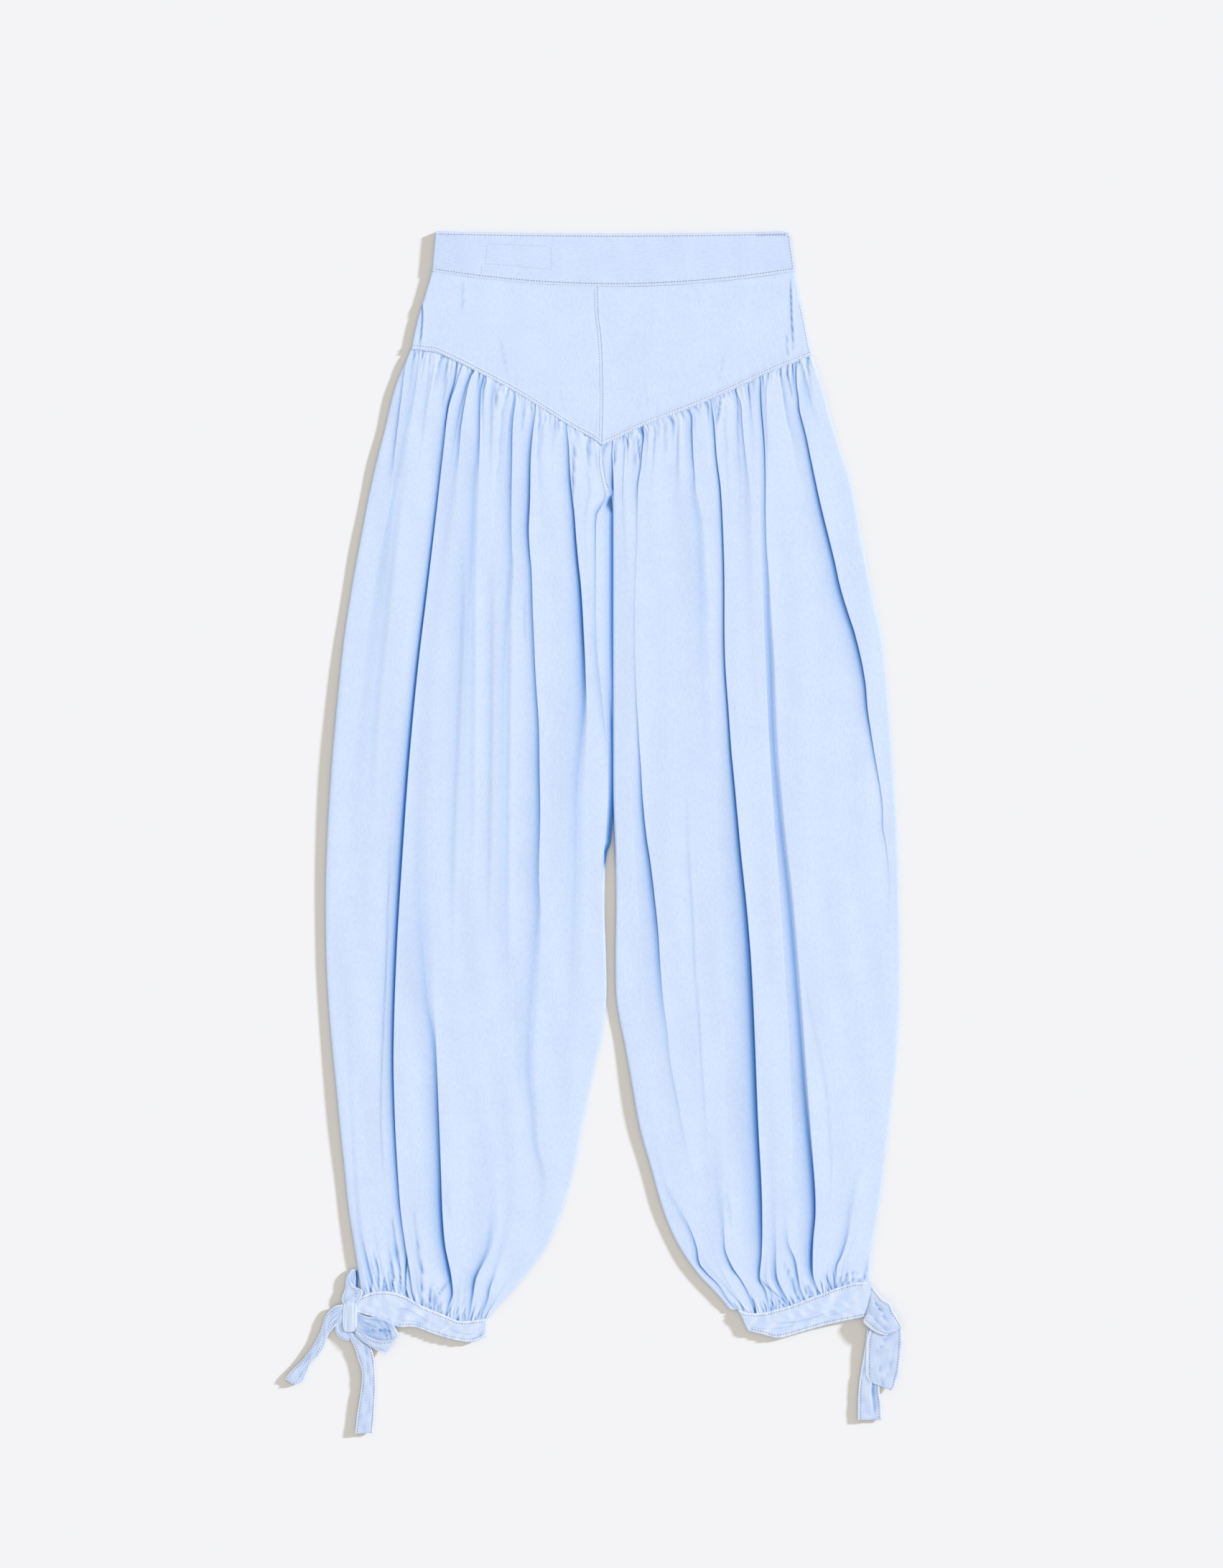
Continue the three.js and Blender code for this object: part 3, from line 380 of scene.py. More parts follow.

# %% [markdown]
# ## The long folds of the legs
# The cloth lies in shingles: at each crease the cloth on its right lies over the cloth on its
# left. So a crease is a line down the leg, with how high its right side stands, how wide the
# hollow at its left is, and how soft the step between them is. A simulation would give other
# folds than these, so they are given here one by one.

# %% Creases of the left leg: drop, across, height, hollow, softness
CREASES = {"left": [
    [(113, -193, 0.6, 2, 0.5), (127, -198.7, 1.2, 2, 0.4), (159, -202.9, 1.7, 3, 0.4),
     (192, -207, 1.9, 3.5, 0.4), (214, -209.5, 1.5, 4, 0.8), (235, -211.5, 0.6, 6, 2),
     (262, -214.5, 0, 8, 4), (342, -232, 0, 8, 5), (430, -243, 0, 8, 5), (560, -256, 0, 8, 5),
     (700, -262, 0, 8, 5), (860, -253.5, 0, 6, 3), (960, -246.5, 0.2, 4, 2),
     (1000, -240, 0.4, 3, 1), (1023, -236, 0.4, 2, 0.6)],
    [(113, -184.9, 0.8, 3, 1.5), (150, -189.1, 1, 4, 1.5), (179, -193.9, 0.9, 6, 2.5),
     (208, -198.7, 0.7, 8, 4), (259, -209.5, 0.6, 10, 8), (342, -220.1, 0.5, 10, 9),
     (430, -231, 0.3, 10, 9), (560, -243, 0.1, 10, 9), (700, -250, 0, 10, 9),
     (820, -249, 0.2, 9, 8), (900, -245.5, 0.4, 7, 5), (960, -241, 0.8, 5, 2),
     (983, -236, 1.4, 4, 0.8), (1006, -231, 1.6, 3, 0.5), (1019, -229.5, 1.2, 2.5, 0.5)],
    [(125, -147.7, 1.6, 3, 0.5), (147, -151.8, 2.3, 4, 0.4), (167, -157.3, 2.9, 4.5, 0.4),
     (212, -162.8, 3.3, 5, 0.4), (267, -169, 3.8, 4.5, 0.35), (350, -178.7, 4.5, 4.5, 0.35),
     (419, -187, 4.7, 5, 0.35), (507, -195.3, 4.7, 6, 0.35), (605, -202.2, 4.6, 6.5, 0.35),
     (697, -207.7, 4.4, 6.5, 0.35), (789, -210.4, 4.2, 6, 0.35), (853, -209.1, 3.8, 6, 0.35),
     (916, -205.6, 3.4, 6, 0.35), (947, -202.9, 3, 6, 0.4), (976, -198.7, 2.6, 5, 0.4),
     (996, -195.3, 2.4, 4, 0.4), (1017, -191.8, 1.8, 3, 0.4), (1028, -188.4, 1.4, 2.5, 0.4)],
    [(133, -133.9, 1.8, 3, 0.5), (152, -139.4, 2.5, 4, 0.45), (188, -145.6, 2.4, 5, 0.6),
     (212, -147.5, 1.6, 6, 1.2), (234, -149.5, 0.9, 8, 2.5), (262, -151.5, 0.6, 9, 4),
     (310, -158, 0.4, 10, 6), (380, -166, 0.2, 12, 8), (460, -175, 0.2, 12, 10),
     (605, -181.5, 0.5, 14, 10), (689, -176.6, 0.9, 14, 9), (739, -173.9, 1.3, 12, 6),
     (772, -170.4, 2.2, 9, 2), (800, -169, 2.8, 8, 1), (847, -167, 3.4, 8, 0.6),
     (911, -164.6, 3.8, 8, 0.5), (942, -163.5, 4.2, 8, 0.5), (974, -160.8, 4.2, 8, 0.5),
     (998, -155.9, 3.8, 7, 0.5), (1011, -153.9, 3, 5, 0.5), (1022, -153.5, 2.4, 4, 0.4),
     (1031, -156.5, 2, 3, 0.4), (1043, -160, 1.4, 2, 0.4)],
    [(138, -122.8, 1.8, 3, 0.5), (153, -126.3, 2.5, 4, 0.45), (200, -127.7, 2.4, 5, 0.6),
     (217, -128.2, 1.9, 7, 1.2), (242, -129.7, 1.3, 9, 3), (309, -131.8, 1.2, 10, 4),
     (370, -133.9, 0.8, 12, 6), (450, -136, 0.5, 12, 8), (520, -137, 0.3, 12, 9),
     (680, -135, 0.1, 12, 9), (820, -126, 0.2, 9, 8), (900, -115, 0.3, 8, 8),
     (945, -112, 0.6, 8, 6), (975, -117, 1.6, 8, 3), (992, -125, 2.4, 7, 1.5),
     (1005, -131, 2.6, 6, 0.8), (1022, -133.9, 2, 4, 0.6), (1046, -138, 1.4, 3, 0.5)],
    [(163, -93.2, 1.7, 3, 0.5), (184, -95.9, 2.3, 4, 0.5), (217, -96.6, 2.3, 5, 0.5),
     (250, -97.3, 2.2, 6, 0.6), (293, -97.3, 1.6, 7, 1.2), (326, -95.9, 1.2, 8, 2),
     (370, -99.4, 0.9, 8, 3), (430, -101, 0.6, 10, 5), (520, -101, 0.4, 10, 7),
     (680, -101, 0.2, 10, 9), (820, -99, 0.1, 8, 9), (900, -95, 0.2, 7, 8), (960, -100, 0.4, 6, 6),
     (1000, -112, 0.8, 5, 2), (1014, -117.3, 1.6, 4, 0.6), (1025, -119.4, 1.6, 4, 0.5),
     (1046, -127, 1.2, 3, 0.5)],
    [(173, -73.8, 1.7, 3, 0.5), (192, -76.6, 2.6, 4, 0.45), (217, -78.7, 3.2, 5, 0.4),
     (259, -79.4, 3.6, 6, 0.4), (287, -80.7, 3.6, 6, 0.4), (309, -79.5, 3.2, 6, 0.5),
     (326, -78, 2.8, 6, 0.6), (370, -76.6, 2.7, 6, 0.7), (432, -73.8, 2.7, 6, 0.7),
     (475, -71, 2.8, 7, 0.7), (515, -70.4, 2.9, 8, 0.7), (560, -69.7, 2.6, 9, 0.8),
     (619, -71.1, 2, 10, 1.2), (650, -69.7, 1.6, 10, 2), (689, -71.1, 1, 12, 4),
     (739, -73.8, 0.9, 12, 6), (798, -77.3, 0.9, 10, 5), (847, -73.8, 0.9, 8, 4),
     (876, -72.5, 0.9, 7, 3), (898, -66.9, 0.8, 6, 3), (911, -64.5, 0.4, 6, 4),
     (950, -71, 0.1, 5, 5), (990, -88, 0.1, 4, 4), (1018, -106, 0.2, 4, 2),
     (1045, -126, 0.2, 3, 1)],
    [(190, -43.5, 1.8, 3, 0.5), (208, -42.1, 2.6, 4, 0.5), (230, -41, 3, 5, 0.6),
     (250, -39.3, 3.4, 5, 0.5), (269, -37, 3.8, 5.5, 0.5), (293, -35.2, 4.1, 6, 0.5),
     (318, -33, 4.3, 6.5, 0.5), (342, -30.4, 4.4, 7, 0.5), (390, -27.6, 4.2, 8, 0.6),
     (424, -26.2, 3.6, 9, 1), (457, -25.5, 2.6, 10, 2), (490, -27, 1.6, 12, 4),
     (524, -29.7, 1.2, 14, 6), (570, -30.4, 1, 12, 7), (619, -30.4, 0.8, 10, 8),
     (700, -33, 0.4, 9, 8), (820, -42, 0.1, 8, 8), (900, -54, 0, 6, 6), (950, -65, 0, 5, 5),
     (990, -85.5, 0, 4, 4), (1018, -104.5, 0, 3, 2), (1045, -124.5, 0, 2, 1)],
    [(206, -12.6, 0.3, 1.5, 0.6), (225, -12.4, 0.3, 1.5, 0.6), (240, -9.9, 0.3, 1.5, 0.6),
     (250, -7.6, 0.6, 1.5, 0.5), (256, -7, 1.2, 2, 0.5), (262, -9.6, 1.9, 2.5, 0.4),
     (268, -13.2, 2.2, 3, 0.4), (273, -15.4, 2.1, 3, 0.4), (280, -16, 1.8, 3, 0.5),
     (303, -16.2, 1.4, 3, 0.6), (340, -16.2, 0.9, 4, 0.8), (370, -16.2, 0.8, 5, 1),
     (412, -14.5, 1, 6, 1.5), (451, -9.7, 1, 6, 2), (491, -5.8, 0.5, 3, 1), (545, -5.2, 0, 3, 1),
     (600, -8.7, 0, 3, 1), (640, -10.5, 0, 3, 1), (700, -8.8, 0, 3, 1), (740, -9, 0, 3, 1),
     (780, -14.5, 0, 3, 1), (820, -24, 0, 3, 1), (860, -33, 0, 3, 1), (900, -41, 0, 3, 1),
     (940, -52.5, 0, 3, 1), (972, -66, 0, 3, 1), (1000, -85, 0, 2, 1), (1022, -103.5, 0, 2, 1),
     (1046, -122.4, 0, 2, 1)],
]}

# %% Creases of the right leg
CREASES["right"] = [
    [(203, 0.2, 1.6, 1.6, 0.4), (214, -0.5, 2.4, 1.6, 0.35), (224, 0, 3.2, 2.6, 0.35),
     (236, 0.5, 4.4, 3.6, 0.35), (246, 0.7, 4.6, 3.8, 0.35), (252, 0.9, 2, 2, 0.4),
     (262, 1.5, 0, 2, 0.5), (340, 1.7, 0, 2, 0.5), (500, 1.9, 0, 2, 0.5), (545, 2.4, 0, 2, 0.5),
     (600, 4.6, 0, 2, 0.5), (640, 5.4, 0, 2, 0.5), (700, 4.7, 0, 2, 0.5), (740, 6.6, 0, 2, 0.5),
     (780, 14.2, 0, 2, 0.5), (820, 21.4, 0, 2, 0.5), (860, 28.8, 0, 2, 0.5), (900, 40.2, 0, 2, 0.5),
     (940, 51.6, 0, 2, 0.5), (972, 65.6, 0, 2, 0.5), (1000, 84.4, 0, 2, 0.5),
     (1022, 104, 0, 2, 0.5), (1040, 121, 0, 2, 0.5)],
    [(195, 14, 0.3, 4, 1), (215, 13, 0, 4, 1), (250, 12, 0, 6, 4), (370, 12, 0, 6, 4),
     (500, 14, 0, 6, 4), (600, 19, 0, 6, 4), (700, 26, 0, 6, 4), (800, 33, 0.1, 6, 5),
     (860, 40, 0.2, 6, 6), (900, 46.8, 0.3, 6, 6), (914, 51, 0.6, 6, 4), (943, 66.9, 1, 6, 3),
     (960, 75.2, 1.9, 5, 1), (976, 80.7, 2.7, 4.5, 0.45), (991, 83.5, 2.9, 4, 0.4),
     (1000, 90.4, 2.4, 3.5, 0.4), (1011, 101.4, 1.8, 3, 0.4), (1027, 112.5, 1.4, 2.5, 0.4),
     (1038, 123, 1, 2, 0.4)],
    [(189, 28.3, 2.2, 2, 0.35), (196, 29.9, 3, 2.5, 0.35), (207, 28.8, 3, 3, 0.35),
     (226, 27, 2.6, 3, 0.35), (244, 24.2, 2.4, 3, 0.35), (262, 23.7, 1.4, 3, 0.5),
     (293, 23.5, 0.7, 3, 0.5), (357, 21.2, 0.6, 3, 0.4), (410, 21.4, 0.7, 3, 0.35),
     (448, 22.8, 1.1, 3, 0.35), (482, 24.8, 1.8, 3.5, 0.35), (515, 26.9, 2.6, 4.5, 0.35),
     (549, 29, 3.4, 6, 0.35), (582, 32.4, 3.8, 7, 0.35), (605, 36, 3.8, 8, 0.4),
     (638, 40, 3.6, 9, 0.45), (672, 43.5, 3.2, 9, 0.6), (705, 45.5, 2.6, 9, 0.9),
     (739, 48.3, 1.8, 9, 1.5), (764, 51.8, 1.2, 8, 1.6), (798, 55.2, 0.9, 6, 1),
     (831, 61.4, 0.8, 5, 0.8), (867, 68.3, 0.5, 5, 2), (900, 76, 0.2, 5, 4), (950, 90, 0.1, 5, 4),
     (976, 97, 0.1, 5, 3), (1000, 106, 0.3, 4, 1), (1020, 117, 0.6, 3, 0.5),
     (1038, 129, 0.8, 2, 0.5)],
    [(170, 71.8, 2, 2, 0.4), (177, 75.9, 2.7, 3, 0.35), (192, 76.3, 2.9, 3.5, 0.35),
     (217, 77.3, 2.4, 4, 0.5), (234, 78.7, 1.8, 6, 1), (250, 79.4, 1.4, 8, 2),
     (275, 84.9, 1.2, 10, 3), (309, 87.6, 1.2, 12, 4), (350, 89.3, 0.9, 12, 5),
     (400, 91, 0.6, 12, 7), (520, 94.5, 0.2, 12, 9), (680, 100, 0.1, 12, 9), (820, 103, 0.1, 9, 8),
     (900, 104, 0.3, 8, 6), (930, 105, 0.8, 7, 4), (951, 106.5, 1.2, 6, 2), (966, 107, 1.6, 5, 1.2),
     (979, 108.3, 2.5, 4.5, 0.5), (995, 115.2, 2.9, 4, 0.35), (1007, 123.5, 2.4, 3.5, 0.35),
     (1018, 129.7, 1.8, 3, 0.35), (1038, 138, 1.2, 2.5, 0.4)],
    [(162, 94.5, 2, 2.5, 0.4), (184, 97.3, 3, 3, 0.35), (202, 98.7, 3.3, 3, 0.35),
     (219, 100, 3.5, 3, 0.35), (243, 103.2, 3.9, 3.5, 0.35), (267, 104.9, 4, 4, 0.35),
     (326, 107, 4.1, 4, 0.35), (407, 107.6, 4.1, 4.5, 0.35), (465, 111.4, 4.3, 5, 0.35),
     (499, 113.8, 4.5, 6, 0.35), (532, 117, 4.6, 7, 0.35), (599, 123.2, 4.8, 9, 0.35),
     (647, 128.3, 4.8, 10, 0.4), (697, 132.5, 4.8, 11, 0.4), (764, 135.9, 4.8, 11, 0.4),
     (854, 139.4, 4.8, 11, 0.4), (919, 142.8, 4.6, 10, 0.4), (958, 143.5, 4.2, 9, 0.4),
     (983, 142.8, 3.6, 7, 0.4), (1000, 141.3, 2.8, 5, 0.4), (1008, 142, 2.2, 4, 0.4),
     (1016, 146.5, 2, 3, 0.4), (1038, 152, 1.4, 3, 0.4)],
    [(148, 116.6, 1.4, 2.5, 0.5), (165, 122.8, 2.1, 3, 0.5), (184, 124.2, 2.1, 4, 0.6),
     (212, 127, 1.6, 5, 1), (242, 130.4, 1, 6, 2), (267, 131.8, 0.6, 8, 4), (309, 133, 0.4, 10, 6),
     (370, 134.6, 0.2, 10, 9), (520, 141, 0, 10, 9), (680, 150, 0, 10, 9), (820, 153, 0, 8, 8),
     (900, 155, 0.3, 7, 5), (950, 156, 0.6, 6, 3), (975, 156.5, 1.3, 5, 1.5),
     (991, 156.6, 1.9, 5, 0.8), (1005, 158, 2.3, 4, 0.4), (1017, 162.8, 2, 4, 0.4),
     (1034, 171, 1.4, 3, 0.4)],
    [(144, 130, 1.4, 2.5, 0.5), (160, 131.8, 1.2, 3, 0.6), (200, 136, 0.4, 6, 3),
     (267, 139.5, 0, 6, 4), (370, 143, 0, 6, 4), (520, 150, 0, 6, 4), (680, 161, 0, 6, 4),
     (820, 169, 0, 6, 4), (900, 170, 0, 6, 4), (940, 168, 0.2, 6, 4), (960, 167.5, 0.7, 6, 2.5),
     (973, 169, 1.5, 5, 1), (987, 175, 2.3, 4, 0.4), (1003, 178, 2.3, 3.5, 0.35),
     (1017, 180.4, 1.7, 3, 0.4), (1029, 184, 1.2, 2.5, 0.4)],
    [(140, 142.1, 2, 2.5, 0.4), (155, 142.1, 2.8, 3, 0.35), (178, 143.5, 2.9, 3, 0.35),
     (202, 145.6, 2.7, 3.5, 0.35), (234, 146.6, 2.6, 4, 0.4), (267, 146.6, 2.4, 5, 0.5),
     (300, 147.3, 2.2, 6, 0.8), (334, 149.7, 2.4, 7, 1.6), (370, 151.5, 2.6, 8, 2.4),
     (407, 153.9, 2.8, 9, 3), (491, 157.3, 2.8, 10, 3.5), (566, 163.5, 3, 10, 3),
     (647, 172.5, 3.2, 10, 3), (747, 180.8, 3.4, 10, 3), (820, 186, 3.8, 10, 2.4),
     (870, 190, 4.2, 10, 1.6), (916, 193.9, 4.6, 10, 0.8), (943, 194.6, 4.8, 9, 0.5),
     (967, 192.5, 4.4, 8, 0.4), (990, 191.8, 3.6, 6, 0.4), (1005, 193, 2.6, 4, 0.4),
     (1020, 199, 1.6, 3, 0.4)],
    [(123, 175.3, 1.6, 2.5, 0.4), (147, 176.6, 2.7, 3, 0.35), (160, 178.3, 3, 3.5, 0.35),
     (172, 179.4, 3.3, 4, 0.35), (194, 185, 3.5, 5, 0.35), (217, 189.8, 3.9, 5, 0.35),
     (262, 199.4, 4.3, 7, 0.35), (315, 212.5, 4.3, 8, 0.35), (343, 218.7, 4.3, 9, 0.35),
     (370, 227, 4.3, 9, 0.35), (382, 231.2, 4.3, 9, 0.35), (412, 238.7, 4.2, 8, 0.35),
     (437, 242.9, 4, 7, 0.35), (457, 244.3, 3.8, 6, 0.35), (480, 247.7, 3.2, 5, 0.35),
     (502, 251.2, 2.6, 4, 0.35), (525, 255.3, 2, 3, 0.35), (541, 258, 1.8, 3, 0.4),
     (558, 259.4, 1.6, 3, 0.4), (573, 259.6, 1.4, 3, 0.5), (591, 262.9, 0.9, 3, 0.6),
     (630, 266, 0.3, 3, 1), (700, 264, 0, 4, 2), (820, 250, 0, 6, 4), (900, 238, 0.2, 7, 5),
     (925, 232, 0.6, 7, 4), (943, 228.7, 1, 6, 3), (967, 225, 1.5, 6, 1.5), (983, 220, 1.9, 5, 0.8),
     (994, 215.3, 2.1, 4, 0.4), (1015, 214.6, 1.4, 3, 0.4)],
]

# %% [markdown]
# Between the long creases lie short tucks. They are narrow valleys with one steep side, pressed
# into the skin where they run, and they fade at both ends.

# %% Short tucks as a depth, a reach and points of drop, across
TUCKS = {
    "left": [
        (0.7, 2, [(136, -158), (150, -160), (170, -164)]),
        (0.8, 4, [(262, -144), (343, -142.8), (467, -147), (605, -152.5), (740, -154)], 3),
        (0.6, 3.5, [(300, -133), (343, -132.5), (467, -133.2), (640, -134.6)], 2.5),
        (0.7, 4, [(290, -116), (343, -115.2), (467, -116), (605, -118), (700, -120)], 2.5),
        (0.7, 3.5, [(270, -99), (343, -98), (501, -99.4), (640, -100.7), (760, -99)], 2.5),
        (0.6, 6, [(190, -196), (342, -213), (470, -226), (600, -232)], 4),
        (1.5, 1.4, [(148, -111.1), (158, -111.4), (172, -111)]),
        (0.8, 1.4, [(168, -83), (182, -86), (196, -87)]),
        (1.9, 1.6, [(196, -35.2), (217, -36.6), (242, -37.6), (262, -37.8)]),
        (1.2, 1.2, [(202, -20), (209, -20), (218, -21.6)]),
        (0.7, 2.4, [(560, -212), (700, -217), (860, -222), (960, -213)]),
        (0.5, 1.5, [(350, -84), (372, -83.8), (400, -83.4)]),
        (0.9, 3, [(940, -212), (965, -209), (985, -206), (1000, -204.5)]),
        (0.9, 1.4, [(932, -193), (948, -189), (970, -187), (1005, -184)]),
        (0.6, 2.4, [(920, -160), (935, -157.5), (950, -154)]),
        (1.3, 1.2, [(978, -229.5), (1000, -224.4), (1024, -224.6)]),
        (1.2, 0.9, [(996, -214.6), (1008, -213.8), (1025, -210.6)]),
        (1.3, 1.2, [(984, -213.6), (1002, -209.3), (1011, -210.5), (1027, -207)]),
        (1.1, 1.4, [(968, -207.4), (1000, -203.3), (1028, -204.6)]),
        (1.2, 0.9, [(1001, -217.6), (1010, -219.3), (1025, -220)]),
        (1, 0.8, [(1005, -216.6), (1013, -215.2), (1026, -213.4)]),
        (1.6, 1.4, [(980, -196.2), (1004, -198.2), (1018, -197.2), (1036, -190)]),
        (1.5, 1, [(966, -186), (988, -183.4), (1005, -182.3), (1020, -182.9), (1041, -182)]),
        (1.3, 1.4, [(1008, -171.6), (1022, -174.4), (1043, -175.8)]),
        (1.2, 1.2, [(1011, -166.6), (1025, -170.2), (1044, -170.8)]),
        (1.3, 1.6, [(1005, -153.6), (1018, -164.1), (1025, -168.3), (1033, -167.4),
                    (1047, -161)], 1.3),
        (1.1, 0.8, [(1030, -147), (1036, -149), (1052, -150)]),
        (1, 0.8, [(1034, -141), (1040, -143.4), (1054, -144)]),
    ],
    "right": [
        (1.8, 1.2, [(208, 3.2), (217, 2.4), (228, 1.4)]),
        (1.8, 1.2, [(192, 24), (200, 24.8), (212, 25.9), (223, 26.5)]),
        (1.2, 1.2, [(194, 12), (204, 15.2), (212, 16)]),
        (1.1, 1.2, [(212, 22.6), (218, 22.2), (226, 21.8)]),
        (0.8, 2.4, [(181, 51), (196, 51.2), (216, 51)]),
        (1.9, 1.4, [(154, 104.4), (172, 102.8), (188, 99.6)]),
        (1.3, 1.4, [(128, 166.6), (138, 168.6), (150, 171), (165, 173)]),
        (0.4, 2.5, [(700, 180), (820, 205), (900, 210), (960, 206)]),
        (0.5, 3, [(520, 70), (680, 78), (800, 86), (900, 92)]),
        (0.6, 2, [(922, 108.5), (938, 112), (955, 115.5)]),
        (1.3, 1.4, [(1002, 137), (1012, 148), (1020, 157), (1027, 165), (1042, 172)], 1.3),
        (1.2, 1.4, [(986, 163), (1005, 172), (1017, 175.8), (1026, 180.2), (1040, 184)], 1.1),
        (1, 0.9, [(996, 211.4), (1009, 213.2), (1026, 213.8)]),
        (1, 1.6, [(998, 205), (1010, 207.2), (1028, 209.2)]),
        (1.5, 0.8, [(1002, 218.2), (1009, 219.8), (1023, 220.8)]),
        (1.3, 0.8, [(998, 224.2), (1005, 226), (1019, 226.8)]),
        (1.2, 0.8, [(996, 230), (1003, 232), (1017, 232.6)]),
        (1.1, 0.8, [(997, 234.6), (1004, 236.4), (1017, 237)]),
        (1.4, 1, [(1020, 131.8), (1030, 136.2), (1048, 138.8)]),
        (1.3, 0.9, [(1025, 143.2), (1032, 147), (1048, 148.8)]),
        (1.3, 0.9, [(1023, 149.6), (1030, 154), (1047, 156)]),
        (1.2, 0.9, [(1021, 156.6), (1029, 160.5), (1045, 162.4)]),
        (1.3, 0.9, [(1009, 186.2), (1018, 190), (1034, 191.2)]),
        (1.2, 0.9, [(1005, 199), (1013, 201.5), (1030, 203.5)]),
    ],
}

# %% [markdown]
# ## Where rows and creases meet
# A row of a panel runs at one share of the way from its top seam to its lower seam. Both seams
# curve, so we find where a crease crosses the row by guessing and correcting a few times.

# %% Meeting points
def meet(line, top_seam, end_seam, shares):
    drop = np.full_like(shares, ORIGIN_DROP)
    for _ in range(30):
        across = line(drop)
        drop = mix(top_seam(across), end_seam(across), shares)
    return line(drop), drop


def rows_between(*runs):
    """Shares down a panel: runs of (end share, number of rows), dense where the cloth is busy."""
    start, shares = 0.0, []
    for end, count in runs:
        shares.append(np.linspace(start, end, count, endpoint=False))
        start = end
    return np.append(np.concatenate(shares), 1.0)


# %% [markdown]
# ## Pleats
# All short folds share one section: low on one side of a line, a crisp step, and high on the
# other side. Gathered cloth is pinched into its seam in many such pleats. Most fade within a
# finger's width and a few run on. They are uneven in place, length, depth and lean.

# %% Sections of a pleat, a tuck and a row of gathers
def pleat(aside, depth, reach, crest, step=0.5):
    low, high = -depth * fade(-aside, reach), crest * fade(aside, 2.0 * reach)
    return mix(low, high, smoothstep((aside + step) / (2 * step)))


def tuck(across, drop, depth, reach, points, step=0.5):
    drops, places = columns_of(points)
    run = (drop - drops[0]) / (drops[-1] - drops[0])
    shown = smoothstep(run / 0.25) * smoothstep((1 - run) / 0.35)
    return shown * pleat(across - curve(drops, places)(drop), depth, reach, 0.35 * depth, step)


def gathers(seat, away, start, end, pitch, seed, depth, shortest, longest, lean, rarity=3):
    """Height of the gathers: seat is the place along the seam that a column starts from."""
    count = int(abs(end - start) / pitch)
    height = np.zeros(np.broadcast_shapes(seat.shape, away.shape))
    beyond = np.maximum(away, 0)
    for n in range(count):
        share = (n + 0.5 + 0.8 * (uneven(n, seed) - 0.5)) / count
        long = mix(shortest, longest, uneven(n, seed + 1) ** rarity)
        slant = lean * (uneven(n, seed + 2) - 0.5) * 2
        line = mix(start, end, share) + slant * (1 - fade(beyond, 6)) * (1 + 0.02 * beyond)
        reach = pitch * mix(0.14, 0.26, uneven(n, seed + 3)) * (1 + 0.8 * beyond / long)
        deep = depth * mix(0.4, 1.0, uneven(n, seed + 4)) * ridge(beyond, long)
        way = -1 if uneven(n, seed + 5) > 0.75 else 1
        height += pleat(way * (seat - line), deep, reach, 0.45 * deep)
    return height


# %% [markdown]
# ## A front leg panel
# The creases cut the panel into strips. Each strip stands high at its left edge, rolls over
# there, and runs down to the foot of the next crease. Its columns are shared out between the
# creases, so each crease keeps five columns of its own for the rolled edge.

# %% Columns of one strip, each as across, rise and painted shade
ROLL = [(-0.5, 0.0), (-0.25, 0.16), (0.0, 0.5), (0.25, 0.84), (0.5, 0.96)]
STEP = 0.30
SINK = 0.2
SETTLE = 60.0
# Height of the next crease, in mm, at which its hollow gets the full painted shade.
FULL_SHADE_PAINT = 4.2


def rolled_edge(place, foot, high, soft, roll):
    """Five columns over a crease, from its foot, which gets painted shade, up to its top."""
    crisp = mix(0.5, 1.0, smoothstep((2.5 - soft) / 2.0))
    return [(place + out * roll, foot + up * STEP * high,
             (1 - up) ** 0.7 * np.minimum(high / 3.4, 1.15) * crisp) for out, up in ROLL]


def run_down(begin, stop, top, count, hollow, next_high, shade, near_cuff):
    """Columns from one crease down into the hollow at the foot of the next, where shade is painted
    in.
    """
    wide = 0.85 * hollow * (1 + 0.05 * hollow)
    dark = np.minimum(next_high / FULL_SHADE_PAINT, 1.1)
    columns = []
    for t in 0.5 - 0.5 * np.cos(np.pi * np.linspace(0.05, 0.96, count)):
        across = mix(begin, stop, t)
        dip = np.exp(-((stop - across) / wide) ** 1.6)
        core = ridge(stop - across, 0.3 * wide + 0.4)
        rise = top * np.exp(-(across - begin) / SETTLE) - SINK * STEP * next_high * dip
        columns.append((across, rise, dark * (shade * dip + 0.56 * core) * near_cuff))
    return columns


# %% [markdown]
# The right leg lies over the left one from the crotch down to where they part. There the left
# leg runs on for a few millimetres beneath it, and a deep crevice lies along the edge.

# %% Edges and strips of a leg
LEG_COLUMNS = 212
CROTCH, SEAM_END, CREVICE_END = 252, 256, 620
INNER_EDGE = [(200, -10.4), (212, -10.4), (227, -9.7), (243, -6.9), (249, -4.1), (252, -1.4),
              (SEAM_END, -0.9)]


def leg_edges(side):
    """The two edges of a leg: the crotch seam first, then the leg's own inner edge."""
    left = side == "left"
    seam = curve(*columns_of(INNER_EDGE))
    inner, outer = LEG_EDGES[f"inner_{side}"], LEG_EDGES[f"outer_{side}"]
    lapped, under, beneath = (1.0, -0.3, 3.6) if left else (0.0, 0.3, 0.0)

    def inner_edge(drop):
        hidden = beneath * smoothstep((drop - 262) / 12) * smoothstep((600 - drop) / 14)
        return np.where(drop < CROTCH, seam(drop) + lapped,
                        mix(seam(SEAM_END) + lapped, inner(drop) + under + hidden,
                            smoothstep((drop - CROTCH) / 12)))
    return (outer, inner_edge) if left else (inner_edge, outer)


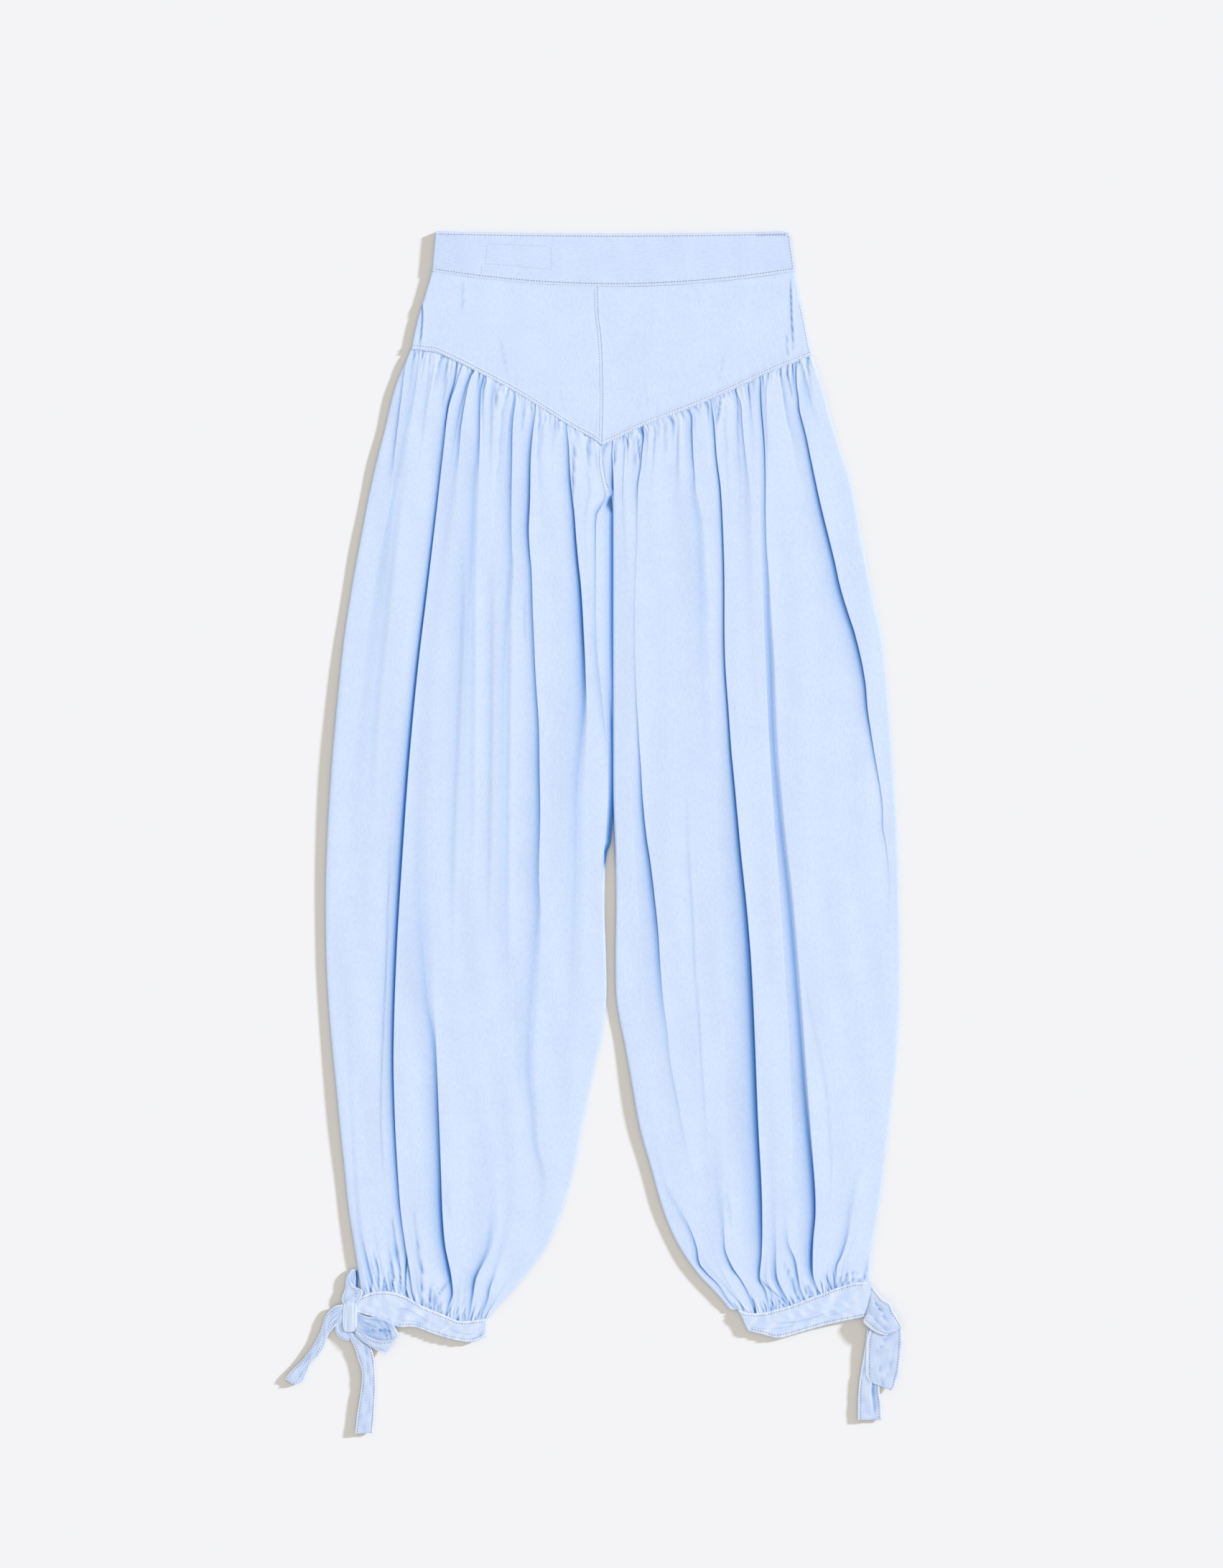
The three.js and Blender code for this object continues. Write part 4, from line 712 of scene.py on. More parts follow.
def leg_strips(side, top_seam, end_seam, shares):
    """The outermost lines, then across, rise and painted shade of all columns, then the crevice."""
    left = side == "left"
    tables = [columns_of(rows) for rows in CREASES[side]]
    edges = leg_edges(side)
    lines = [edges[0], *(curve(table[0], table[1]) for table in tables), edges[1]]
    places, drops = zip(*(meet(line, top_seam, end_seam, shares) for line in lines))
    high, hollow, soft = ([curve(table[0], table[k])(d) for table, d in zip(tables, drops[1:-1])]
                          for k in (2, 3, 4))
    high = [h * mix(0.6, 1.0, smoothstep((1.0 - shares) / 0.035)) for h in high]
    zero = np.zeros_like(shares)
    at_inner = drops[-1 if left else 0]
    crevice = smoothstep((at_inner - 246) / 14) * smoothstep((CREVICE_END - at_inner) / 30)
    if left:
        reach = mix(6.2, 8.0, smoothstep((at_inner - 420) / 120))
        depth = 5.4 * crevice * mix(0.7, 1.0, smoothstep((at_inner - 290) / 90))
        high, hollow = [zero, *high, depth], [*hollow, mix(2.0, reach, crevice)]
    else:
        high, hollow = [3.6 * crevice, *high, zero], [*hollow, zero + 1.0]

    spans = [after - before for before, after in zip(places, places[1:])]
    widths = [np.mean(span) for span in spans]
    counts = [max(5, round(LEG_COLUMNS * width / sum(widths))) for width in widths]
    soft = [zero + 1.0, *soft]
    rooms = [0.4 * np.minimum(before, after) for before, after in zip(spans, spans[1:])]
    roll = [np.minimum(np.maximum(s, 0.9), room) for s, room in zip(soft[1:], rooms)]
    roll = [soft[0], *roll, zero + 0.5]
    shade = 0.46 if left else 0.33
    near_cuff = 1 + 0.8 * smoothstep((shares - 0.93) / 0.04)
    columns, foot = [], zero
    for k, count in enumerate(counts):
        if k > 0:
            columns += rolled_edge(places[k], foot, high[k], soft[k], roll[k])
        begin = places[k] + (0.55 * roll[k] if k > 0 else 0)
        stop = places[k + 1] - 0.55 * roll[k + 1]
        top = foot + STEP * high[k]
        columns += run_down(begin, stop, top, count, hollow[k], high[k + 1], shade, near_cuff)
        foot = top * np.exp(-(stop - begin) / SETTLE) - SINK * STEP * high[k + 1]
    across, rise, shade_paint = (np.stack(values, axis=1) for values in zip(*columns))
    across = np.maximum.accumulate(across, axis=1)
    return places[0][:, None], places[-1][:, None], across, rise, shade_paint, crevice[:, None]


# %% [markdown]
# To the strips we add what the whole panel has: gathers at both seams, the short tucks, a slow
# swell, faint waves and rounded outer edges. The gathers, tucks and seams also get painted shade
# in their hollows, and paleness on their ridges that is partly wear and partly painted highlight.

# %% Build the front leg skins
EDGE_ROUND = 3.0
SWELL = 1.5
TUCKED_UNDER = 1.3
# side and seam: the run across, then pitch, seed, depth, shortest, longest, lean, rarity
LEG_GATHERS = {
    ("left", "yoke"): ((-193, -11), (7.0, 1, 1.2, 10, 80, 2.6, 2), (4.3, 11, 1.6, 4, 20, 1.6, 1.5)),
    ("right", "yoke"): ((-9, 191), (7.0, 2, 1.2, 10, 80, 2.6, 2), (4.3, 12, 1.6, 4, 20, 1.6, 1.5)),
    ("left", "cuff"): ((-241, -121), (6.9, 3, 1.1, 8, 42, 4, 2.4), (3.4, 13, 2.2, 3, 13, 3, 1.3)),
    ("right", "cuff"): ((119, 247), (6.9, 4, 1.1, 8, 42, 4, 2.4), (3.4, 14, 2.2, 3, 13, 3, 1.3)),
}


def leg_gathers(side, seam, seat, away):
    run, *rows = LEG_GATHERS[side, seam]
    return sum(gathers(seat, away, *run, *row) for row in rows)


def leg_front(side):
    left = side == "left"
    top_seam = moved(YOKE_SEAM[side], -TUCKED_UNDER)
    end_seam = moved(CUFF_SEAM[side], TUCKED_UNDER)
    shares = rows_between((0.034, 32), (0.085, 20), (0.91, 78), (0.966, 22), (1.0, 30))
    first, last, across, rise, shade_paint, crevice = leg_strips(side, top_seam, end_seam, shares)
    drop = mix(top_seam(across), end_seam(across), shares[:, None])
    below, above = drop - YOKE_SEAM[side](across), CUFF_SEAM[side](across) - drop
    share_across = (across - first) / (last - first)

    swell = SWELL * np.abs(np.sin(np.pi * np.clip(share_across, 0, 1))) ** 0.6
    swell = swell * np.sin(np.pi * mix(0.12, 0.9, shares))[:, None]
    at_yoke = leg_gathers(side, "yoke", across[:1], below)
    at_cuff = leg_gathers(side, "cuff", across[-1:], above)
    tucks = sum(tuck(across, drop, *row) for row in TUCKS[side])
    drawn_in = -1.0 * fade(below, 3.0) - 1.0 * fade(above, 3.0)
    waves = (0.24 * np.sin(across / 9.0 + drop / 70 + 1.5 * np.sin(drop / 130))
             + 0.18 * np.sin(across / 5.1 - drop / 55 + 2.0 * np.sin(drop / 90 + 1))
             + 0.16 * np.sin(across / 21 + drop / 34))
    waves = waves * smoothstep(below / 60) * smoothstep(above / 60)
    lift = SKIN_LEVEL + rise + swell + at_yoke + at_cuff + tucks + drawn_in + waves

    edge = rounded(np.minimum(across - first, last - across), EDGE_ROUND)
    near_inner = share_across > 0.5 if left else share_across < 0.5
    sewn = 0.9 * smoothstep((SEAM_END - drop) / 6)
    edge = np.where(near_inner, np.maximum(edge, sewn), edge)
    if not left:
        edge = np.where(near_inner, np.maximum(edge, crevice * 0.75), edge)
    lift = mix(LOWEST_FRONT + 0.1, np.maximum(lift, LOWEST_FRONT + CLOTH - 0.1), edge)

    # Painted shade in the hollows of the gathers and tucks, more so near the cuff, along the yoke
    # seam and in the crevice where one leg lies over the other. Paleness on the raised gathers and
    # tucks is partly wear and partly painted highlight.
    shade_paint = shade_paint + 0.52 * np.clip(-at_yoke, 0, 2)
    shade_paint = shade_paint + (0.48 + 0.34 * fade(above, 9)) * np.clip(-at_cuff, 0, 2)
    shade_paint = shade_paint + (0.34 + 0.44 * smoothstep((drop - 960) / 20)) * np.clip(-tucks, 0, 2)
    shade_paint = shade_paint + 0.12 * fade(below, 1.2)
    if left:
        shade_paint = shade_paint + 0.7 * crevice * ridge(np.maximum(last - across - 1.5, 0), 2.0)
    else:
        shade_paint = shade_paint + crevice * ridge(across - first, 0.9)
    wear_and_highlight = 0.30 * np.clip(at_yoke + at_cuff + tucks, 0, 1)
    piece = skin(f"leg_front_{side}_cloth", at(across, drop, lift), np.clip(shade_paint, 0, 1), wear_and_highlight)
    print(piece.name, "columns:", across.shape[1], "rows:", across.shape[0])
    return piece


legs = {side: leg_front(side) for side in ("left", "right")}

# %% [markdown]
# ## Yokes
# The yoke is a smooth panel in two halves. Its lower edge is turned under and topstitched, which
# shows as a low ridge along the seam. The right half is felled over the left one at the centre,
# and both tuck under the waistband.

# %% Build the yoke skins
YOKE_COLUMNS = 120
YOKE_TUCKS = {
    "left": [(1.9, 1.1, [(62, -183.8), (72, -182.6), (84, -182.3), (97, -183.2), (118, -185.4)]),
             (0.4, 2.0, [(44, -143.5), (60, -143), (84, -144)]),
             (0.4, 1.4, [(100, -108), (125, -103), (142, -99.5)]),
             (0.2, 1.2, [(150, -50), (165, -47), (176, -46)])],
    "right": [(1.7, 1.2, [(40, 171.1), (79, 172.2), (106, 173.5), (124, 173.2)]),
              (0.9, 1.2, [(96, 167.5), (108, 168), (124, 169)]),
              (0.25, 1.4, [(112, 109), (128, 106), (148, 102)]),
              (0.2, 1.4, [(140, 30), (158, 33), (176, 34)])],
}


def yoke_front(side):
    left = side == "left"
    top_seam, end_seam = moved(waist_seam, -1.5), YOKE_SEAM[side]
    outer, centre_line = YOKE_EDGES[f"outer_{side}"], YOKE_EDGES["centre"]
    lines = [outer, moved(centre_line, 0.7)] if left else [centre_line, outer]
    shares = rows_between((0.04, 5), (0.9, 54), (0.975, 16), (1.0, 8))
    first, last = (meet(line, top_seam, end_seam, shares)[0][:, None] for line in lines)
    even = np.linspace(0, 1, YOKE_COLUMNS + 1)
    t = mix(0.5 - 0.5 * np.cos(np.pi * even), even, 0.4)
    across = mix(first, last, t)
    drop = mix(top_seam(across), end_seam(across), shares[:, None])
    below, above = drop - waist_seam(across), end_seam(across) - drop

    swell = 0.8 * np.sin(np.pi * t)[None, :] * np.sin(np.pi * shares)[:, None]
    hem = 0.6 * smoothstep((6.3 - above) / 0.8) - 0.35 * ridge(above - 4.0, 0.6)
    turned = -0.5 * fade(above, 0.5)
    run, seed = ((-190, -16), 5) if left else ((-6, 186), 6)
    pulls = gathers(across[-1:], above, *run, 7.0, seed, 0.35, 6, 30, 2.0)
    beside = across - centre_line(drop)
    if left:
        felled = (0.3 * smoothstep((4.6 - beside) / 0.8) - 0.25 * ridge(beside + 2.8, 0.5)
                  - 0.7 * smoothstep((beside + 0.5) / 0.5))
    else:
        felled = 0.25 * fade(beside, 2)
    tucks = sum(tuck(across, drop, *row) for row in YOKE_TUCKS[side])
    waves = 0.08 * np.sin(across / 6.5 + 0.02 * drop) + 0.10 * np.sin(across / 15 + drop / 23)
    sunk = -0.9 * smoothstep((-0.2 - below) / 1.2)
    lift = SKIN_LEVEL + swell + hem + turned + pulls + felled + tucks + waves + sunk
    from_side = across - first if left else last - across
    lift = mix(LOWEST_FRONT + 0.1, lift, rounded(from_side, 2.4))

    # Painted shade in the tucks and pulls, at the waist seam, in the hem groove and beside the
    # felled centre seam. Paleness along the hem's folded edge and ridge is partly wear and partly
    # painted highlight.
    shade_paint = (0.60 * np.clip(-tucks, 0, 2) + 0.25 * np.clip(-pulls, 0, 2)
           + 0.10 * fade(np.abs(below), 0.8) + 0.10 * ridge(above - 4.0, 0.6)
           + 0.05 * ridge(above - 6.6, 0.7))
    if left:
        shade_paint = shade_paint + 0.22 * ridge(beside, 0.7)
    wear_and_highlight = 0.42 * ridge(above - 1.0, 0.9) + 0.15 * ridge(above - 5.3, 0.6)
    return skin(f"yoke_front_{side}_cloth", at(across, drop, lift), shade_paint, wear_and_highlight)


yokes = {side: yoke_front(side) for side in ("left", "right")}

# %% [markdown]
# ## Back panels
# The back isn't seen. It is cut like the front, lies flat on the table and is finished plainly,
# with soft gathers where it is sewn to the yoke and the cuffs.

# %% Build the back skins
def back_panel(name, lines, top_seam, end_seam, columns, rows, depth):
    shares = np.linspace(0, 1, rows + 1)
    first, last = (meet(line, top_seam, end_seam, shares)[0][:, None] for line in lines)
    across = mix(first, last, np.linspace(0, 1, columns + 1))
    drop = mix(top_seam(across), end_seam(across), shares[:, None])
    below, above = drop - top_seam(across), end_seam(across) - drop
    ends = (across[0], below, 8.0, 7), (across[-1], above, 6.0, 8)
    upper, lower = (gathers(row[None, :], away, row[0], row[-1], pitch, seed, depth, 8, 60, 0.5)
                    for row, away, pitch, seed in ends)
    pressed = np.clip(upper + lower, -1, 1)
    lift = BACK_CLOTH + 0.05 + 0.12 * pressed
    # The back gets a little painted shade in the hollows of its gathers.
    return skin(name, at(across, drop, lift), np.clip(-0.3 * pressed, 0, 1), 0.0, BACK_CLOTH - 0.35)


backs = {}
for side, way in (("left", 1), ("right", -1)):
    for part, outer, inner, gap, top_seam, end_seam, *grid in (
            ("leg", LEG_EDGES[f"outer_{side}"], LEG_EDGES[f"inner_{side}"], -0.8,
             YOKE_SEAM[side], CUFF_SEAM[side], 120, 150, 1.0),
            ("yoke", YOKE_EDGES[f"outer_{side}"], YOKE_EDGES["centre"], -0.15,
             waist_seam, YOKE_SEAM[side], 40, 24, 0.2)):
        panel_edges = [moved(outer, 0.5 * way), moved(inner, gap * way)][::way]
        name = f"{part}_back_{side}"
        backs[name] = back_panel(f"{name}_cloth", panel_edges, moved(top_seam, 0.3), end_seam,
                                 *grid)
print("back panels:", sorted(backs))

# %% [markdown]
# ## Bands that fold round
# The waistband and the cuffs are doubled strips that go round the body and lie flat here, so
# each is one long strip that turns back under itself at one end. The skin follows the middle of
# that strip, and Solidify gives it its thickness on both sides.

# %% A band from two edge curves
BAND_CLOTH = 1.4
FRONT_PLY, BACK_PLY = 2.8, 0.75


def band(name, edges, turn_at, front_columns, rows, relief, shade_paint_of):
    """edges(share) gives the upper and the lower edge as (across, drop) at a share along."""
    front = np.linspace(0, turn_at, front_columns)
    back = front[::-3]
    turn = np.linspace(0, np.pi, 9)[1:-1]
    along = np.concatenate([front, np.full(len(turn), turn_at), back])
    radius, middle = (FRONT_PLY - BACK_PLY) / 2, (FRONT_PLY + BACK_PLY) / 2
    lift = np.concatenate([np.full(len(front), FRONT_PLY), middle + radius * np.cos(turn),
                           np.full(len(back), BACK_PLY)])
    push = np.concatenate([np.zeros(len(front)), radius * np.sin(turn), np.zeros(len(back))])
    is_front = (np.arange(len(along)) < len(front)).astype(float)[None, :]
    upper, lower = edges(along)
    way = np.sign(upper[0][5] - upper[0][0])
    t = np.linspace(0, 1, rows + 1)[:, None]
    across = mix(upper[0][None, :], lower[0][None, :], t) + way * push[None, :]
    drop = mix(upper[1][None, :], lower[1][None, :], t)
    height = (lower[1] - upper[1])[None, :]
    rim = np.minimum(t * height, (1 - t) * height)
    raised = relief(across, drop, t, rim) * is_front
    shade_paint, wear_and_highlight = shade_paint_of(across, drop, t, rim)
    return skin(name, at(across, drop, lift[None, :] + raised), shade_paint * is_front, wear_and_highlight * is_front,
                BAND_CLOTH, 0.0)


def sewn_rim(rim, row):
    """A rim with its seam allowance: rounded off, thick, and pressed in along the stitches."""
    return -0.8 * np.exp(-rim / 0.7) + 0.18 * ridge(rim - 1.4, 0.8) - 0.3 * ridge(rim - row, 0.5)


# %% Waistband
def waist_edges(along):
    upper = mix(WAIST["top_right"], WAIST["top_left"], along)
    corner = np.clip((upper - WAIST["top_right"] + 9) / 9, 0, 1)
    rounding = 6.5 * (1 - np.sqrt(1 - 0.98 * corner ** 2))
    lower = mix(WAIST["bottom_right"], WAIST["bottom_left"], along)
    return (upper, waist_top(upper) + rounding), (lower, waist_seam(lower))


def waist_relief(across, drop, t, rim):
    puckers = 0.10 * np.sin(across / 0.9 + 3 * np.sin(across / 17)) * ridge(rim - 2.8, 2.2)
    rolls = 0.20 * np.sin(across / 11 + drop / 15) + 0.12 * np.sin(across / 4.7 - drop / 21 + 1)
    right_end = mix(WAIST["top_right"], WAIST["bottom_right"], t)
    closed = -0.8 * fade(right_end - across, 0.8)
    return sewn_rim(rim, 2.6) + puckers + rolls * smoothstep(rim / 7) + closed


def waist_shade_paint(across, drop, t, rim):
    # The colour is darker towards both ends and near the right top corner. Painted shade lies in
    # the stitch groove and at the edge of the rim; paleness along the rim is wear.
    ends = 0.06 * smoothstep((-120 - across) / 50) + 0.05 * smoothstep((across - 140) / 30)
    near_corner = 0.16 * smoothstep((across - 135) / 8) * ridge(drop - 2.4, 1.6)
    shade_paint = 0.06 * ridge(rim - 2.6, 0.7) + 0.05 * np.exp(-rim / 0.4) + ends + near_corner
    return shade_paint, 0.30 * ridge(rim - 1.2, 0.7)


waistband = band("waistband_cloth", waist_edges, 0.996, 330, 40, waist_relief, waist_shade_paint)

# %% [markdown]
# The cuffs are short bands of the same kind. They lie beside gathered cloth, so they are less
# even: a crumple runs lengthwise through the middle and small puckers sit at the seam.

# %% Cuffs
CUFF_RUN = {"left": (-250.6, -120.6), "right": (247.9, 119.6)}
CUFF_CREASES = {
    "left": [(0.5, 1.4, [(-214, 1036), (-200, 1034), (-186, 1041), (-172, 1050)]),
             (0.5, 1.2, [(-206, 1045), (-190, 1046.5), (-176, 1052)]),
             (0.6, 1.0, [(-160, 1052), (-148, 1057), (-138, 1058.5), (-128, 1058)])],
    "right": [(0.8, 1.2, [(150, 1048.5), (176, 1046.5), (200, 1040), (226, 1032)]),
              (0.6, 1.0, [(196, 1044.5), (214, 1038.5), (232, 1034)]),
              (0.5, 1.2, [(126, 1048), (140, 1053), (160, 1052.5), (178, 1049)])],
}


def cuff_edges(side):
    shares, acrosses, drops = columns_of(CUFF_HEM[side])
    hem_across, hem_drop = curve(shares, acrosses), curve(shares, drops)
    outer, inner = CUFF_RUN[side]

    def edges(along):
        upper = mix(outer, inner, along)
        steep = np.maximum(0, -242 - upper) * 1.3 if side == "left" else 0
        return (upper, CUFF_SEAM[side](upper) + steep), (hem_across(along), hem_drop(along))
    return edges


def cuff_crumples(side, across, drop):
    """Creases that run along the cuff, so drop and across change places in the tuck."""
    return sum(tuck(-drop, across, depth, reach, [(a, -d) for a, d in points])
               for depth, reach, points in CUFF_CREASES[side])


def cuff_relief(side):
    def relief(across, drop, t, rim):
        seed = 0.7 if side == "left" else 2.1
        crumple = 0.25 * np.sin(np.pi * t * 2.0 + 0.6 * np.sin(across / 13 + seed))
        fine = np.sin(across / 2.4 + 3 * np.sin(drop / 5 + seed))
        dents = (0.55 * np.sin(across / 4.2 + 5 * t + seed) * np.sin(across / 11 + seed)
                 + 0.20 * fine * np.sin(across / 17 + 2 * seed))
        puckers = 0.34 * np.sin(across / 1.2 + 2 * np.sin(across / 9)) * np.exp(-rim / 3.2)
        return (sewn_rim(rim, 2.4) + (crumple + dents) * smoothstep(rim / 4) + puckers
                + cuff_crumples(side, across, drop))
    return relief


def cuff_shade_paint(side):
    def shade_paint_of(across, drop, t, rim):
        # Painted shade in the crumples, the dent hollows and the stitch groove, over a faint even
        # darkening.
        folds = np.clip(-cuff_crumples(side, across, drop), 0, 1)
        hollows = np.clip(-np.sin(across / 4.2 + 5 * t) * np.sin(across / 11), 0, 1)
        shade_paint = 0.05 + 0.6 * folds + 0.14 * ridge(rim - 2.4, 0.8) + 0.12 * hollows
        # Paleness: wear along the rim, and painted highlight on the raised crumples and dents, over
        # a faint even paleness.
        crumpled = np.sin(across / 2.3 + 4 * np.sin(drop / 7)) * np.sin(across / 9 + drop / 5)
        return shade_paint, (0.10 + 0.42 * ridge(rim - 0.9, 0.8) + 0.35 * np.clip(crumpled, 0, 1)
                     + 0.2 * np.clip(np.sin(across / 4.2 + 5 * t), 0, 1))
    return shade_paint_of


cuffs = {side: band(f"cuff_{side}_cloth", cuff_edges(side), 0.985, 170, 34,
                    cuff_relief(side), cuff_shade_paint(side)) for side in ("left", "right")}

# %% [markdown]
# ## Ties
# A tie is a narrow sewn tube, pressed flat. Its long edges are thick, because the seam allowance
# lies inside them, and beside each runs a pressed-in row of stitches. We sweep that section along
# a list of stations, each with a point on either long edge, as one would lay the strip by hand.

# %% A sewn tube through stations
STATION_STEPS = 12
AROUND = 64
STITCHED_AT = 0.78
RIPPLE = 0.18


def smooth_rows(stations):
    rows = np.asarray(stations, float)
    along = np.arange(len(rows))
    fine = np.linspace(0, len(rows) - 1, (len(rows) - 1) * STATION_STEPS + 1)
    return np.stack([curve(along, rows[:, c])(fine) for c in range(rows.shape[1])], axis=1)


def tube(name, stations, creases, seed, thick, inside):
    """creases are (station, aside, station, aside, depth, reach): soft valleys along the strip.
    Up to the station inside, the strip is the inner side of a loop, and shade is painted on it."""
    rows = smooth_rows(stations)
    first, second = rows[:, :3] * (1, -1, 1), rows[:, 3:] * (1, -1, 1)
    middle, half = (first + second) / 2, (second - first) / 2
    up = np.cross(np.gradient(middle, axis=0), half)
    up /= np.linalg.norm(up, axis=1)[:, None] + 1e-9
    width = np.linalg.norm(half, axis=1)[:, None] * 2
    steps = np.linalg.norm(np.diff(middle, axis=0), axis=1)
    travelled = np.concatenate([[0], np.cumsum(steps)])[:, None]
    station = np.arange(len(rows))[:, None] / STATION_STEPS
    turn = np.linspace(0, 2 * np.pi, AROUND + 1)[None, :]
    aside, outward = (np.sign(x) * np.abs(x) ** power
                      for x, power in ((np.cos(turn), 0.75), (np.sin(turn), 0.5)))
    groove = ridge(np.abs(aside) - STITCHED_AT, 1.2 / width)
    body = 0.85 + 0.15 * smoothstep((np.abs(aside) - STITCHED_AT) / 0.1) - 0.28 * groove
    ends = np.clip(np.minimum(travelled, travelled[-1] - travelled) / 1.2, 0.35, 1)
    level = thick / 2 * outward * body * ends
    shift = RIPPLE * (np.sin(travelled / 4.3 + 4 * aside + seed)
                      + 0.7 * np.sin(travelled / 2.3 - 3 * aside + 2 * seed))
    pressed = np.zeros_like(shift)
    for from_station, from_aside, to_station, to_aside, depth, reach in creases:
        t = (station - from_station) / (to_station - from_station)
        shown = smoothstep(t / 0.2) * smoothstep((1 - t) / 0.2)
        beside = (aside - mix(from_aside, to_aside, t)) * width / 2
        pressed += shown * pleat(beside, depth, reach, 0.5 * depth)
    lift = (shift + pressed) * (1 - aside ** 6)
    middle, half, up = (line[:, None, :] for line in (middle, half, up))
    points = middle + aside[..., None] * half + level[..., None] * up
    points[..., 2] = np.maximum(points[..., 2] + lift, 0.05)
    # Painted shade: in the stitch groove, where the ripple sinks, in pressed valleys and, more, on
    # the inner side of a loop. Where the ripple rises the shade is taken back.
    shade_paint = 0.03 + 0.22 * groove - 0.35 * shift + 0.6 * np.clip(-pressed, 0, 2)
    shaded = smoothstep((inside - station) / 0.6)
    shade_paint = np.clip(shade_paint + 0.16 * shaded, 0, 0.95)
    # Paleness: wear along both rims, and painted highlight on the raised side of pressed folds;
    # less of both on the inner side of a loop.
    wear_and_highlight = 0.68 * smoothstep((np.abs(aside) - 0.84) / 0.06) + 0.4 * np.clip(pressed, 0, 1)
    wear_and_highlight = np.clip(wear_and_highlight, 0, 0.85) * (1 - 0.8 * shaded)
    bm = bmesh.new()
    lay_out(bm, at(points[..., 0], -points[..., 1], points[..., 2]), shade_paint, wear_and_highlight)
    bmesh.ops.remove_doubles(bm, verts=bm.verts[:], dist=1e-6)
    bmesh.ops.holes_fill(bm, edges=[e for e in bm.edges if e.is_boundary], sides=0)
    bmesh.ops.recalc_face_normals(bm, faces=bm.faces[:])
    return new_piece(name, bm), float(width.mean()), float(travelled[-1, 0])


# %% [markdown]
# The left ties are tied in a bow. Its loops and tails are laid in the order that they cross:
# the tails on the table, the loops over them, and the knot round all of them.

